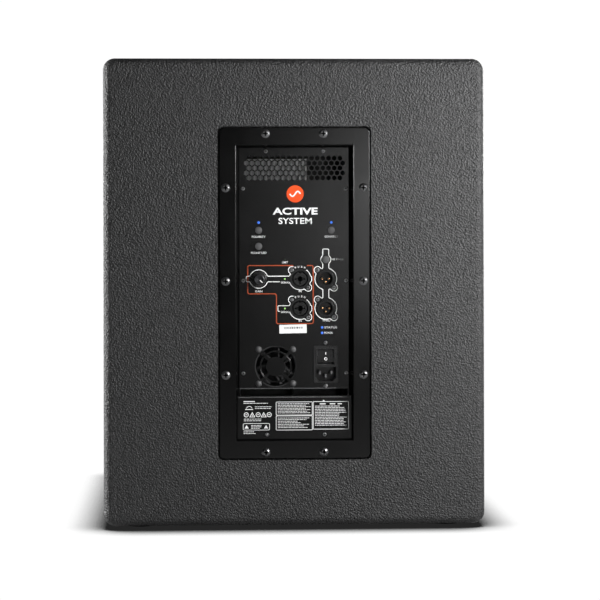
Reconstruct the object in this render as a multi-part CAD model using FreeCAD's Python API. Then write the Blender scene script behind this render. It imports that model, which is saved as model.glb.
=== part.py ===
"""Powered subwoofer: a ported plywood cabinet with a 15-inch driver behind a steel grille and an amplifier module let
into the rear panel.

Frame: +Z up, the grille faces -Y, the amplifier faces +Y, origin at the middle of the footprint, on the floor.
The amplifier's pieces are placed in rear-panel coordinates: u to the right as seen from behind (u = -X), v up from the
middle of the amplifier frame, and w into the cabinet from the plane of the rear face. All sizes are in millimetres.
"""

import FreeCAD, Part
import math
import os

Vector = FreeCAD.Vector

# ---- cabinet ----
CAB_W, CAB_D, CAB_H = 454.0, 600.0, 555.0
FOOT_H = 5.0
WALL = 18.0
CORNER_R = 14.0
REAR_RIM_R = 9.0
FRONT_RIM_R = 5.0
HALF_W = CAB_W / 2
REAR_Y = CAB_D / 2
FRONT_Y = -CAB_D / 2
BASE_Z = FOOT_H
TOP_Z = FOOT_H + CAB_H
IN_X = HALF_W - WALL
IN_Z0, IN_Z1 = BASE_Z + WALL, TOP_Z - WALL

# ---- baffle, port and brace ----
BAFFLE_Y = -258.0
BAFFLE_T = 22.0
PORT_H = 60.0
SHELF_T = 15.0
SHELF_BACK_Y = 60.0
SHELF_Z0 = IN_Z0 + PORT_H
SHELF_Z1 = SHELF_Z0 + SHELF_T
BRACE_Y0, BRACE_T = 112.0, 18.0

# ---- driver, measured from the front of its flange ----
DRIVER_Z = (SHELF_Z1 + IN_Z1) / 2
DRIVER_R = 194.0
FLANGE_T = 8.0
FLANGE_RECESS = 7.0
DRIVER_Y = BAFFLE_Y + FLANGE_RECESS - FLANGE_T
CUTOUT_R = 180.0
DRIVER_BOLT_R = 186.5
DRIVER_BOLTS = 8
ROLL_IN_R, ROLL_OUT_R = 158.0, 174.0
COIL_R = 38.2
GAP_HALF = 1.0
MAGNET_R = 95.0
TOP_PLATE_S, TOP_PLATE_T = 111.0, 10.0
MAGNET_T = 25.0
BACK_PLATE_T = 10.0

TERMINALS = (0.0, -144.0, DRIVER_Z - 108.0)

# ---- amplifier frame ----
FRAME_Z = 281.0
FRAME_HALF_U, FRAME_HALF_V = 90.2, 197.2
FRAME_CORNER_R = 7.0
FRAME_W0, FRAME_T = 2.0, 3.0
GASKET_T = 1.0
REBATE = FRAME_W0 + FRAME_T + GASKET_T
MOUTH_HALF_U, MOUTH_HALF_V = 70.5, 176.5
FLOOR_HALF_U = 65.3
FLOOR_TOP_V = 173.0
PANEL_W0, SHEET = 22.0, 1.5
PANEL_HALF_U, PANEL_V0, PANEL_V1 = 65.2, -115.2, 172.6
LABEL_W0 = 11.5
LABEL_HALF_U, LABEL_V0, LABEL_V1 = 67.2, -174.6, -124.4
FRAME_BACK_W = 26.0
LEDGE = 8.0
TUB_BACK_W = 112.0
TUB_HALF_U, TUB_V0, TUB_V1 = 66.0, -170.0, 172.0
FRAME_SCREWS = [(34.5 * i, 189.5 * j) for i in (-1, 1) for j in (-1, 1)]
FRAME_SCREWS += [(82.0 * i, v) for i in (-1, 1) for v in (125.0, 14.0, -97.5)]
PANEL_SCREWS = [(u, v) for u in (-60.8, 62.6) for v in (124.2, 14.1, -96.8)]
PANEL_SCREWS += [(u, 169.0) for u in (-33.3, 35.3)]
LABEL_SCREWS = [(u, -169.4) for u in (-33.0, 35.8)]

# ---- controls on the amplifier's panel, as (u, v) ----
ROW_A, ROW_B = 16.1, -19.3
VENT_AT = (1.1, 148.9)
VENT_PITCH, VENT_FLATS, VENT_ROWS, VENT_COLUMNS = 6.8, 5.5, 5, 17
BUTTONS = {
    "polarity_button": (-42.1, 74.4),
    "front_light_button": (-42.1, 55.2),
    "connect_button": (45.1, 74.4),
    "high_pass_button": (38.3, 39.3),
}
BUTTON_R, BUTTON_UP, BUTTON_TRAVEL, SWITCH_W = 4.0, 2.0, 1.5, 36.0
BLUE_LEDS = [(-42.1, 83.7), (45.1, 83.7), (33.8, -42.2), (33.8, -48.7)]
SIGNAL_LEDS = [(-10.8, ROW_A), (-10.8, ROW_B), (-10.8, 39.3)]
KNOB = (-42.1, ROW_A)
KNOB_POINTER_DEG = -45.0
COMBOS = [(7.4, ROW_A), (7.4, ROW_B)]
THRUS = [(38.3, ROW_A), (38.3, ROW_B)]
EARS = [(-9.7, 10.5), (9.7, -10.5)]
JACK_R, JACK_DEPTH = 3.3, 28.0
COMBO_SHELL_R, COMBO_GAP_R, COMBO_INSERT_R = 11.8, 9.65, 8.0
THRU_SHELL_R, THRU_BORE_R, THRU_DEPTH = 10.0, 8.2, 15.0
PIN_CIRCLE_R = 4.0
LATCH_R0, LATCH_R1, LATCH_HALF_DEG = 12.6, 16.6, 26.0
LATCH_UP, LATCH_TRAVEL = 1.6, 1.2
FAN = (-22.0, -88.7)
FAN_SIZE, FAN_DEPTH, FAN_PITCH, FAN_MOUTH_R = 50.0, 15.0, 41.0, 24.0
GUARD_RINGS = [(11.6, 17.3, 37.5), (19.3, 24.9, 40.0)]
INLET = (38.0, -86.4)
INLET_HALF_U, INLET_HALF_V = 14.9, 22.3
INLET_UP = 1.4
ROCKER_V, ROCKER_HALF_U, ROCKER_HALF_V = 9.2, 9.6, 7.2
WELL_HALF_U, WELL_HALF_V = 10.1, 9.1
BEZEL_U, BEZEL_V = 2.0, 1.6
TRUNNION_R, TRUNNION_HALF_U = 1.2, 11.4
ROCKER_TILT_DEG = 12.0
PIVOT_W = PANEL_W0 + 2.5
CAVITY_V, CAVITY_HALF_U, CAVITY_HALF_V, CAVITY_CHAMFER = -11.9, 12.5, 8.6, 4.6
BLADES = [(-7.0, 2.0), (7.0, 2.0), (0.0, -2.0)]
INLET_SCREW_V = 25.8

# ---- lead from the amplifier to the driver ----
LEAD_R = 2.5
GLAND = (-30.0, REAR_Y - TUB_BACK_W, 250.0)
LEAD_POINTS = [
    (-30.0, GLAND[1] - 6.0, 250.0),
    (-30.0, 158.0, 250.0),
    (-34.0, 128.0, 239.0),
    (-42.0, 90.0, 222.0),
    (-48.0, 48.0, 207.0),
    (-46.0, 2.0, 196.0),
    (-37.0, -44.0, 192.0),
    (-22.0, -84.0, 196.0),
    (-6.0, -116.0, 206.0),
    TERMINALS,
]

# ---- hardware ----
SOCKET_Y = -20.0
SOCKET_PLATE_R, SOCKET_PLATE_T = 48.0, 4.0
SOCKET_HUB_R, SOCKET_DEPTH = 19.0, 42.0
SOCKET_BORE_R = 8.75
SOCKET_SCREW_R = 36.0
HANDLE_Z = 344.0
HANDLE_HALF_Y, HANDLE_HALF_Z = 95.0, 52.0
HANDLE_FLANGE, HANDLE_FLANGE_T = 14.0, 3.0
HANDLE_DEPTH, HANDLE_SKIN = 60.0, 2.5
GRIP_R, GRIP_Z = 11.5, HANDLE_Z + 30.0
FOOT_AT = [(185.0 * i, 245.0 * j) for i in (-1, 1) for j in (-1, 1)]
FOOT_R = 20.0

# ---- grille ----
GRILLE_FACE_Y = -297.0
GRILLE_T = 1.5
GRILLE_GAP = 3.0
GRILLE_LIP = 14.0
FOAM_T = 8.0
GRILLE_FIXINGS = [(198.0 * i, z) for i in (-1, 1) for z in (114.0, 250.0, 390.0, 524.0)]
BADGE_Z, BADGE_R = 60.0, 24.0

X_AXIS, Y_AXIS, Z_AXIS = Vector(1, 0, 0), Vector(0, 1, 0), Vector(0, 0, 1)


# ---- shapes in the cabinet's frame ----


def block(x0, x1, y0, y1, z0, z1):
    """A box from its low and high coordinates."""
    return Part.makeBox(x1 - x0, y1 - y0, z1 - z0, Vector(x0, y0, z0))


def rounded_block(x0, x1, y0, y1, z0, z1, radius, along):
    """A box whose four edges along the given axis are rounded."""
    body = block(x0, x1, y0, y1, z0, z1)
    edges = [e for e in body.Edges if abs(abs(e.tangentAt(e.FirstParameter).dot(along)) - 1) < 1e-6]
    return body.makeFillet(radius, edges)


def rod_y(x, y0, y1, z, radius):
    """A cylinder along Y."""
    return Part.makeCylinder(radius, y1 - y0, Vector(x, y0, z), Y_AXIS)


def rod_z(x, y, z0, z1, radius):
    """A cylinder along Z."""
    return Part.makeCylinder(radius, z1 - z0, Vector(x, y, z0), Z_AXIS)


def cut_all(body, tools):
    return body.cut(Part.makeCompound(tools)) if tools else body


def joined(shapes):
    first, *rest = shapes
    return first.multiFuse(rest).removeSplitter() if rest else first


def round_edges(body, radius, chosen):
    """Rounds the edges whose bounding box passes the test."""
    edges = [e for e in body.Edges if chosen(e.BoundBox)]
    return body.makeFillet(radius, edges)


def turned(body, centre, axis, degrees):
    """The same body turned about an axis through centre."""
    body.rotate(centre, axis, degrees)
    return body


def export(name, shape):
    if isinstance(shape, list):
        shape = Part.makeCompound(shape)
    shape.exportStep(os.path.join("parts", name + ".step"))


# ---- shapes in rear-panel coordinates ----


def at(u, v, w):
    return Vector(-u, REAR_Y - w, FRAME_Z + v)


def peg(u, v, w0, w1, radius):
    """A cylinder along the panel's normal, from depth w0 to depth w1."""
    return Part.makeCylinder(radius, w1 - w0, at(u, v, w1), Y_AXIS)


def pane(u0, u1, v0, v1, w0, w1, radius=0.0):
    """A plate parallel to the panel, with its corners rounded."""
    box = (-u1, -u0, REAR_Y - w1, REAR_Y - w0, FRAME_Z + v0, FRAME_Z + v1)
    return rounded_block(*box, radius, Y_AXIS) if radius else block(*box)


def ring(u, v, w0, w1, r_out, r_in):
    return peg(u, v, w0, w1, r_out).cut(peg(u, v, w0, w1, r_in))


def dome(u, v, w_base, radius, height):
    """A low dome standing out of the panel from depth w_base."""
    ball_r = (radius**2 + height**2) / (2 * height)
    ball = Part.makeSphere(ball_r, at(u, v, w_base + ball_r - height))
    return ball.common(peg(u, v, w_base - height - 1, w_base, radius))


def sector(u, v, w0, w1, r_in, r_out, middle_deg, half_deg):
    """Part of a ring; angles run anticlockwise from +u as seen from behind."""

    def edge(radius, degrees):
        a = math.radians(degrees)
        return at(u + radius * math.cos(a), v + radius * math.sin(a), w1)

    start, end = middle_deg - half_deg, middle_deg + half_deg
    wire = Part.Wire(
        [
            Part.Arc(edge(r_out, start), edge(r_out, middle_deg), edge(r_out, end)).toShape(),
            Part.LineSegment(edge(r_out, end), edge(r_in, end)).toShape(),
            Part.Arc(edge(r_in, end), edge(r_in, middle_deg), edge(r_in, start)).toShape(),
            Part.LineSegment(edge(r_in, start), edge(r_out, start)).toShape(),
        ]
    )
    return Part.Face(wire).extrude(Vector(0, w1 - w0, 0))


def taper_block(half_u0, v0, w0, half_u1, v1, w1):
    """A block whose section shrinks from half_u0 and v0 = (low, high) at depth w0 to half_u1 and v1 at depth w1."""
    z = FRAME_Z
    return Part.makeWedge(
        -half_u1, REAR_Y - w1, z + v1[0], z + v0[0], -half_u0,
        half_u1, REAR_Y - w0, z + v1[1], z + v0[1], half_u0,
    )  # fmt: skip


def pan_screw(u, v, w_face, head_r, head_h, shank_r, length):
    """A cross-recessed screw whose rounded, flat-topped head stands on the face at depth w_face."""
    head = dome(u, v, w_face, head_r, 1.35 * head_h).common(peg(u, v, w_face - head_h, w_face, head_r))
    reach, width = 0.58 * head_r, 0.15 * head_r
    w0, w1 = w_face - head_h - 1, w_face - 0.3 * head_h
    cross = [
        pane(u - reach, u + reach, v - width, v + width, w0, w1),
        pane(u - width, u + width, v - reach, v + reach, w0, w1),
        peg(u, v, w0, w1, 0.3 * head_r),
    ]
    return joined([cut_all(head, cross), peg(u, v, w_face, w_face + length, shank_r)])


# ---- cabinet ----


def cabinet_walls():
    """The four outer walls as one sleeve, before it is split into panels."""
    outer = rounded_block(-HALF_W, HALF_W, FRONT_Y, REAR_Y, BASE_Z, TOP_Z, CORNER_R, Y_AXIS)
    outer = round_edges(outer, REAR_RIM_R, lambda b: b.YMin > REAR_Y - 0.01)
    outer = round_edges(outer, FRONT_RIM_R, lambda b: b.YMax < FRONT_Y + 0.01)
    return outer.cut(block(-IN_X, IN_X, FRONT_Y - 1, REAR_Y + 1, IN_Z0, IN_Z1))


def top_panel(walls):
    panel = walls.common(block(-HALF_W, HALF_W, FRONT_Y, REAR_Y, IN_Z1, TOP_Z))
    rebate = rod_z(0, SOCKET_Y, TOP_Z - SOCKET_PLATE_T, TOP_Z + 1, SOCKET_PLATE_R + 0.4)
    hole = rod_z(0, SOCKET_Y, IN_Z1 - 1, TOP_Z, SOCKET_HUB_R + 0.5)
    pilots = [rod_z(x, y, IN_Z1 - 1, TOP_Z, 2.4) for x, y in socket_screw_places()]
    return cut_all(panel, [rebate, hole, *pilots])


def bottom_panel(walls):
    panel = walls.common(block(-HALF_W, HALF_W, FRONT_Y, REAR_Y, BASE_Z, IN_Z0))
    return cut_all(panel, [rod_z(x, y, BASE_Z - 1, BASE_Z + 12, 2.0) for x, y in FOOT_AT])


def side_panel(walls, side):
    low, high = (IN_X, HALF_W) if side > 0 else (-HALF_W, -IN_X)
    panel = walls.common(block(low, high, FRONT_Y, REAR_Y, IN_Z0, IN_Z1))
    rebate = handle_plate(side, HALF_W - HANDLE_FLANGE_T, HALF_W + 1, HANDLE_FLANGE + 0.5)
    hole = handle_plate(side, IN_X - 1, HALF_W, 0.5)
    pilots = [rod_x(side, IN_X + 2, HALF_W, y, z, 1.8) for y, z in handle_screw_places()]
    return cut_all(panel, [rebate, hole, *pilots])


def rear_panel():
    panel = block(-IN_X, IN_X, REAR_Y - WALL, REAR_Y, IN_Z0, IN_Z1)
    gap = 1.2
    seat = pane(
        -FRAME_HALF_U - gap, FRAME_HALF_U + gap, -FRAME_HALF_V - gap, FRAME_HALF_V + gap, -1, REBATE, FRAME_CORNER_R
    )
    hole = pane(-75.5, 75.5, -181.0, 181.0, 0, WALL + 1, 4.0)
    pilots = [peg(u, v, REBATE - 1, WALL - 2, 2.0) for u, v in FRAME_SCREWS]
    return cut_all(panel, [seat, hole, *pilots])


def front_baffle():
    panel = block(-IN_X, IN_X, BAFFLE_Y, BAFFLE_Y + BAFFLE_T, SHELF_Z1, IN_Z1)
    seat = rod_y(0, BAFFLE_Y - 1, BAFFLE_Y + FLANGE_RECESS, DRIVER_Z, DRIVER_R + 0.7)
    hole = rod_y(0, BAFFLE_Y, BAFFLE_Y + BAFFLE_T + 1, DRIVER_Z, CUTOUT_R)
    pilots = [rod_y(x, BAFFLE_Y, BAFFLE_Y + BAFFLE_T + 1, z, 2.5) for x, z in driver_bolt_places()]
    return cut_all(panel, [seat, hole, *pilots])


def port_shelf():
    return block(-IN_X, IN_X, BAFFLE_Y, SHELF_BACK_Y, SHELF_Z0, SHELF_Z1)


def port_divider():
    rib = block(-SHELF_T / 2, SHELF_T / 2, BAFFLE_Y, SHELF_BACK_Y, IN_Z0, SHELF_Z0)
    return round_edges(rib, SHELF_T / 2 - 0.1, lambda b: b.YMax < BAFFLE_Y + 0.01 and b.ZLength > 1)


def window_brace():
    """A plywood ring with a cross bar, tying the walls together behind the driver."""
    rim, bar_z = 34.0, 290.0
    plate = block(-IN_X, IN_X, BRACE_Y0, BRACE_Y0 + BRACE_T, IN_Z0, IN_Z1)

    def window(z0, z1):
        return rounded_block(-IN_X + rim, IN_X - rim, BRACE_Y0 - 1, BRACE_Y0 + BRACE_T + 1, z0, z1, 25.0, Y_AXIS)

    return cut_all(plate, [window(IN_Z0 + rim, bar_z - 15), window(bar_z + 15, IN_Z1 - rim)])


# ---- grille and badge ----


def front_grille():
    """A folded sheet; its field of holes is too fine for the solid model."""
    x, z0, z1 = IN_X - GRILLE_GAP, IN_Z0 + GRILLE_GAP, IN_Z1 - GRILLE_GAP
    outer = rounded_block(-x, x, GRILLE_FACE_Y, GRILLE_FACE_Y + GRILLE_LIP, z0, z1, 8.0, Y_AXIS)
    outer = round_edges(outer, 3.0, lambda b: b.YMax < GRILLE_FACE_Y + 0.01)
    t = GRILLE_T
    inner = rounded_block(
        -x + t, x - t, GRILLE_FACE_Y + t, GRILLE_FACE_Y + GRILLE_LIP + 1, z0 + t, z1 - t, 6.5, Y_AXIS
    )
    inner = round_edges(inner, 1.5, lambda b: b.YMax < GRILLE_FACE_Y + t + 0.01)
    holes = [rod_y(fx, GRILLE_FACE_Y - 1, GRILLE_FACE_Y + t + 1, z, 2.4) for fx, z in GRILLE_FIXINGS]
    holes.append(rod_y(0, GRILLE_FACE_Y - 1, GRILLE_FACE_Y + t + 1, BADGE_Z, 4.5))
    return cut_all(outer.cut(inner), holes)


def grille_foam():
    inset = GRILLE_GAP + 3.4
    x, z0, z1 = IN_X - inset, IN_Z0 + inset, IN_Z1 - inset
    y0 = GRILLE_FACE_Y + GRILLE_T
    sheet = rounded_block(-x, x, y0, y0 + FOAM_T, z0, z1, 6.0, Y_AXIS)
    holes = [rod_y(fx, y0 - 1, y0 + FOAM_T + 1, z, 6.5) for fx, z in GRILLE_FIXINGS]
    holes.append(rod_y(0, y0 - 1, y0 + FOAM_T + 1, BADGE_Z, 6.0))
    return cut_all(sheet, holes)


def grille_blocks():
    """Wooden blocks glued to the side walls, which the grille is screwed to."""
    blocks = []
    for x, z in GRILLE_FIXINGS:
        side = math.copysign(1.0, x)
        far, near = side * IN_X, side * (IN_X - 19)
        body = block(min(far, near), max(far, near), GRILLE_FACE_Y + GRILLE_LIP + 1, BAFFLE_Y, z - 13, z + 13)
        boss = rod_y(x, GRILLE_FACE_Y + GRILLE_T, GRILLE_FACE_Y + GRILLE_LIP + 1, z, 5.0)
        pilot = rod_y(x, GRILLE_FACE_Y + GRILLE_T - 1, GRILLE_FACE_Y + 22, z, 1.9)
        blocks.append(joined([body, boss]).cut(pilot))
    return blocks


def grille_screws():
    screws = []
    for x, z in GRILLE_FIXINGS:
        ball_r = (5.5**2 + 2.0**2) / 4.0
        ball = Part.makeSphere(ball_r, Vector(x, GRILLE_FACE_Y + ball_r - 2.0, z))
        head = ball.common(rod_y(x, GRILLE_FACE_Y - 3, GRILLE_FACE_Y, z, 5.5))
        cross = [
            block(x - 2.6, x + 2.6, GRILLE_FACE_Y - 3, GRILLE_FACE_Y - 0.7, z - 0.5, z + 0.5),
            block(x - 0.5, x + 0.5, GRILLE_FACE_Y - 3, GRILLE_FACE_Y - 0.7, z - 2.6, z + 2.6),
        ]
        screws.append(joined([cut_all(head, cross), rod_y(x, GRILLE_FACE_Y, GRILLE_FACE_Y + 20, z, 1.85)]))
    return screws


def front_badge():
    """A plain round badge with a light window, held through the grille by its stem."""
    disc = round_edges(
        rod_y(0, FRONT_Y, GRILLE_FACE_Y, BADGE_Z, BADGE_R), 1.0, lambda b: b.YMax < FRONT_Y + 0.01
    )
    window = rod_y(0, FRONT_Y - 1, FRONT_Y + 0.8, BADGE_Z - 13, 2.0)
    return joined([disc, rod_y(0, GRILLE_FACE_Y, GRILLE_FACE_Y + 12, BADGE_Z, 4.2)]).cut(window)


# ---- feet, pole socket and handles ----


def rubber_feet():
    feet = []
    for x, y in FOOT_AT:
        foot = Part.makeCone(FOOT_R - 2, FOOT_R, FOOT_H, Vector(x, y, 0), Z_AXIS)
        bore = [rod_z(x, y, -1, FOOT_H + 1, 2.6), rod_z(x, y, -1, 3.0, 6.5)]
        feet.append(cut_all(foot, bore))
    return feet


def socket_screw_places():
    turns = [math.radians(45 + 90 * i) for i in range(4)]
    return [(SOCKET_SCREW_R * math.cos(a), SOCKET_Y + SOCKET_SCREW_R * math.sin(a)) for a in turns]


def pole_socket():
    """Steel flange with a threaded hub for a 20 mm pole; the bore is the thread's minor diameter."""
    top = TOP_Z - 0.4
    plate = rod_z(0, SOCKET_Y, TOP_Z - SOCKET_PLATE_T, top, SOCKET_PLATE_R)
    hub = rod_z(0, SOCKET_Y, top - SOCKET_DEPTH, top, SOCKET_HUB_R)
    bore = rod_z(0, SOCKET_Y, top - SOCKET_DEPTH - 1, top + 1, SOCKET_BORE_R)
    holes = []
    for x, y in socket_screw_places():
        holes.append(rod_z(x, y, TOP_Z - SOCKET_PLATE_T - 1, top + 1, 2.7))
        holes.append(Part.makeCone(2.7, 5.2, 2.5, Vector(x, y, top - 2.5), Z_AXIS))
    return cut_all(joined([plate, hub]), [bore, *holes])


def countersunk(base, direction, head_r, head_h, shank_r, length):
    """A countersunk screw whose flat head ends at base and whose shank runs against direction."""
    tip = base - direction * head_h
    head = Part.makeCone(shank_r, head_r, head_h, tip, direction)
    recess = Part.makeCylinder(head_r * 0.35, head_h * 0.6, base - direction * (head_h * 0.6), direction)
    shank = Part.makeCylinder(shank_r, length, tip - direction * length, direction)
    return joined([head.cut(recess), shank])


def rod_x(side, x0, x1, y, z, radius):
    """A cylinder along X on one side of the cabinet, from x0 to x1 out from the middle."""
    start = x0 if side > 0 else -x1
    return Part.makeCylinder(radius, x1 - x0, Vector(start, y, z), X_AXIS)


def handle_plate(side, x0, x1, grow):
    """A rounded block in the handle's outline, grown on all sides, from x0 to x1 out from the middle."""
    low, high = (x0, x1) if side > 0 else (-x1, -x0)
    y, z = HANDLE_HALF_Y + grow, HANDLE_HALF_Z + grow
    return rounded_block(low, high, -y, y, HANDLE_Z - z, HANDLE_Z + z, 20.0 + grow, X_AXIS)


def handle_screw_places():
    y, z = HANDLE_HALF_Y - 35, HANDLE_HALF_Z + HANDLE_FLANGE / 2
    return [(y * i, HANDLE_Z + z * j) for i in (-1, 1) for j in (-1, 1)]


def handle_cup(side):
    floor = HALF_W - HANDLE_DEPTH
    flange = handle_plate(side, HALF_W - HANDLE_FLANGE_T, HALF_W, HANDLE_FLANGE)
    cup = handle_plate(side, floor - HANDLE_SKIN, HALF_W, 0)
    hollow = handle_plate(side, floor, HALF_W + 1, -HANDLE_SKIN)
    holes = []
    for y, z in handle_screw_places():
        holes.append(rod_x(side, HALF_W - HANDLE_FLANGE_T - 1, HALF_W + 1, y, z, 2.3))
        seat = Vector(side * (HALF_W - 2.2), y, z)
        holes.append(Part.makeCone(2.3, 4.4, 2.2, seat, X_AXIS * side))
    return cut_all(joined([flange, cup]), [hollow, *holes])


def handle_grip(side):
    """A bar across the cup, its ends shaped to the cup's end walls."""
    reach = HANDLE_HALF_Y - HANDLE_SKIN
    x = side * (HALF_W - 5 - GRIP_R)
    bar = Part.makeCylinder(GRIP_R, 2 * reach, Vector(x, -reach, GRIP_Z), Y_AXIS)
    bar = bar.common(handle_plate(side, HALF_W - HANDLE_DEPTH, HALF_W, -HANDLE_SKIN))
    grooves = []
    for i in range(-5, 6):
        y = 12.0 * i - 1.5
        grooves.append(rod_y(x, y, y + 3, GRIP_Z, GRIP_R + 1).cut(rod_y(x, y, y + 3, GRIP_Z, GRIP_R - 0.8)))
    return cut_all(bar, grooves)


def cabinet_screws():
    """The countersunk screws of the pole socket, both handles and the feet."""
    screws = []
    for x, y in socket_screw_places():
        screws.append(countersunk(Vector(x, y, TOP_Z - 0.4), Z_AXIS, 4.9, 2.5, 2.35, 12.0))
    for side in (-1, 1):
        for y, z in handle_screw_places():
            screws.append(countersunk(Vector(side * HALF_W, y, z), X_AXIS * side, 4.2, 2.2, 1.75, 12.0))
    for x, y in FOOT_AT:
        screws.append(countersunk(Vector(x, y, 0.8), Z_AXIS * -1, 5.5, 2.2, 1.95, 12.0))
    return screws


# ---- driver ----


def spin_profile(points):
    """Turns a closed outline of (radius, depth behind the flange) about the driver's axis."""
    corners = [Vector(r, DRIVER_Y + s, DRIVER_Z) for r, s in points]
    face = Part.Face(Part.makePolygon([*corners, corners[0]]))
    return face.revolve(Vector(0, DRIVER_Y, DRIVER_Z), Y_AXIS, 360)


def driver_disc(s0, s1, r_out, r_in=0.0):
    body = rod_y(0, DRIVER_Y + s0, DRIVER_Y + s1, DRIVER_Z, r_out)
    return body.cut(rod_y(0, DRIVER_Y + s0 - 1, DRIVER_Y + s1 + 1, DRIVER_Z, r_in)) if r_in else body


def driver_bolt_places():
    turns = [math.radians(22.5 + 360 / DRIVER_BOLTS * i) for i in range(DRIVER_BOLTS)]
    return [(DRIVER_BOLT_R * math.cos(a), DRIVER_Z + DRIVER_BOLT_R * math.sin(a)) for a in turns]


def woofer_basket():
    """Cast frame: bolt flange, six wide spokes, a ledge for the spider and a seat for the motor."""
    seat_s = TOP_PLATE_S - 6
    flange = driver_disc(0, FLANGE_T, DRIVER_R, ROLL_OUT_R)
    bowl = spin_profile([(ROLL_OUT_R, FLANGE_T - 1), (178.5, FLANGE_T - 1), (101, seat_s), (92, seat_s)])
    windows = []
    for i in range(6):
        window = block(-44, 44, DRIVER_Y + 24, DRIVER_Y + 84, DRIVER_Z, DRIVER_Z + 200)
        windows.append(turned(window, Vector(0, 0, DRIVER_Z), Y_AXIS, 60 * i + 30))
    bowl = cut_all(bowl, windows)
    ledge = driver_disc(88, 94, 106, 88)
    motor_seat = driver_disc(seat_s, TOP_PLATE_S, 101, 52)
    holes = [rod_y(x, DRIVER_Y - 1, DRIVER_Y + FLANGE_T + 1, z, 3.0) for x, z in driver_bolt_places()]
    x, y, z = TERMINALS
    terminals = block(x - 14, x + 14, y - 12, y, z - 7, z + 8)
    return cut_all(joined([flange, bowl, ledge, motor_seat, terminals]), holes)


def woofer_motor_steel():
    """Top plate and vented pole piece, as two steel pieces."""
    top = driver_disc(TOP_PLATE_S, TOP_PLATE_S + TOP_PLATE_T, 80, COIL_R + 1.2 + GAP_HALF)
    magnet_end = TOP_PLATE_S + TOP_PLATE_T + MAGNET_T
    plate = driver_disc(magnet_end, magnet_end + BACK_PLATE_T, 82)
    pole = driver_disc(TOP_PLATE_S - 2, magnet_end, COIL_R - 0.6 - GAP_HALF)
    vent = driver_disc(TOP_PLATE_S - 3, magnet_end + BACK_PLATE_T + 1, 14)
    return [top, joined([plate, pole]).cut(vent)]


def woofer_magnet():
    start = TOP_PLATE_S + TOP_PLATE_T
    return driver_disc(start, start + MAGNET_T, MAGNET_R, 56)


def woofer_surround():
    """Half-roll edge between cone and flange."""
    mid, radius, skin = (ROLL_IN_R + ROLL_OUT_R) / 2, (ROLL_OUT_R - ROLL_IN_R) / 2, 1.2
    steps = 12
    arch = [math.pi * i / steps for i in range(steps + 1)]
    outer = [(mid - radius * math.cos(a), -skin - radius * math.sin(a)) for a in arch]
    inner = [(mid - (radius - skin) * math.cos(a), -(radius - skin) * math.sin(a)) for a in reversed(arch)]
    lip_out, lip_in = ROLL_OUT_R + 6, ROLL_IN_R - 6
    outline = [(lip_in, 0), (lip_in, -skin), *outer, (lip_out, -skin), (lip_out, 0), *inner]
    return spin_profile(outline)


def woofer_spider():
    """Corrugated suspension between the coil former and the basket's ledge."""
    inner_r, outer_r, waves, height, skin, level = COIL_R, 94.0, 6, 2.5, 0.8, 87.2
    flat = 6.0
    span = (outer_r - inner_r - 2 * flat) / (2 * waves)
    crest = [(inner_r + flat + span * i, level + (height if i % 2 else -height)) for i in range(1, 2 * waves)]
    line = [(inner_r, level), (inner_r + flat, level), *crest, (outer_r - flat, level), (outer_r, level)]
    return spin_profile([*line, *[(r, s + skin) for r, s in reversed(line)]])


def woofer_cone():
    paper = 1.4
    rim = ROLL_IN_R
    front = [(COIL_R, 68), (120, 30), (rim - 8, 0), (rim, 0)]
    back = [(rim, paper), (rim - 7, paper), (121, 30 + 1.2 * paper), (COIL_R, 68 + 1.4 * paper)]
    return spin_profile(front + back)


def dust_cap():
    """Domed cap glued over the middle of the cone."""
    radius, height, skin = 60.0, 16.0, 1.2
    ball_r = (radius**2 + height**2) / (2 * height)
    rim_s = 60.2
    centre = Vector(0, DRIVER_Y + rim_s - height + ball_r, DRIVER_Z)
    shell = Part.makeSphere(ball_r, centre).cut(Part.makeSphere(ball_r - skin, centre))
    return shell.common(driver_disc(rim_s - height - 1, rim_s, radius)).cut(woofer_cone())


def voice_coil():
    """Former and winding on one tube."""
    former = driver_disc(66, 128, COIL_R, COIL_R - 0.6)
    winding = driver_disc(106, 127, COIL_R + 1.2, COIL_R - 0.01)
    return joined([former, winding])


def woofer_screws():
    screws = []
    for x, z in driver_bolt_places():
        head = rod_y(x, DRIVER_Y - 5.5, DRIVER_Y, z, 4.6)
        head = round_edges(head, 0.6, lambda b: b.YMax < DRIVER_Y - 5.49)
        turns = [math.pi / 3 * i for i in range(6)]
        hexagon = [Vector(x + 2.3 * math.cos(a), DRIVER_Y - 6, z + 2.3 * math.sin(a)) for a in turns]
        socket = Part.Face(Part.makePolygon([*hexagon, hexagon[0]])).extrude(Vector(0, 3.5, 0))
        screws.append(joined([head.cut(socket), rod_y(x, DRIVER_Y, DRIVER_Y + 26, z, 2.45)]))
    return screws


def rounded_route(points):
    """Straight runs joined by tangent arcs, each as large as its two runs allow."""
    points = [Vector(*p) for p in points]
    edges, last = [], points[0]
    for before, corner, after in zip(points, points[1:], points[2:]):
        back, ahead = (before - corner), (after - corner)
        run = min(back.Length, ahead.Length)
        back.normalize()
        ahead.normalize()
        turn = math.pi - back.getAngle(ahead)
        reach = 0.45 * run
        start, end = corner + back * reach, corner + ahead * reach
        radius = reach / math.tan(turn / 2)
        bisector = back + ahead
        bisector.normalize()
        centre = corner + bisector * (radius / math.cos(turn / 2))
        edges.append(Part.LineSegment(last, start).toShape())
        edges.append(Part.Arc(start, centre - bisector * radius, end).toShape())
        last = end
    edges.append(Part.LineSegment(last, points[-1]).toShape())
    return Part.Wire(edges)


def woofer_lead():
    """Two-core lead from the amplifier tub to the driver's terminals."""
    route = rounded_route(LEAD_POINTS)
    first, second = Vector(*LEAD_POINTS[0]), Vector(*LEAD_POINTS[1])
    section = Part.Wire(Part.makeCircle(LEAD_R, first, second - first))
    tube = route.makePipeShell([section], True, True)
    return tube


# ---- amplifier frame and sheet metal ----


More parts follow.
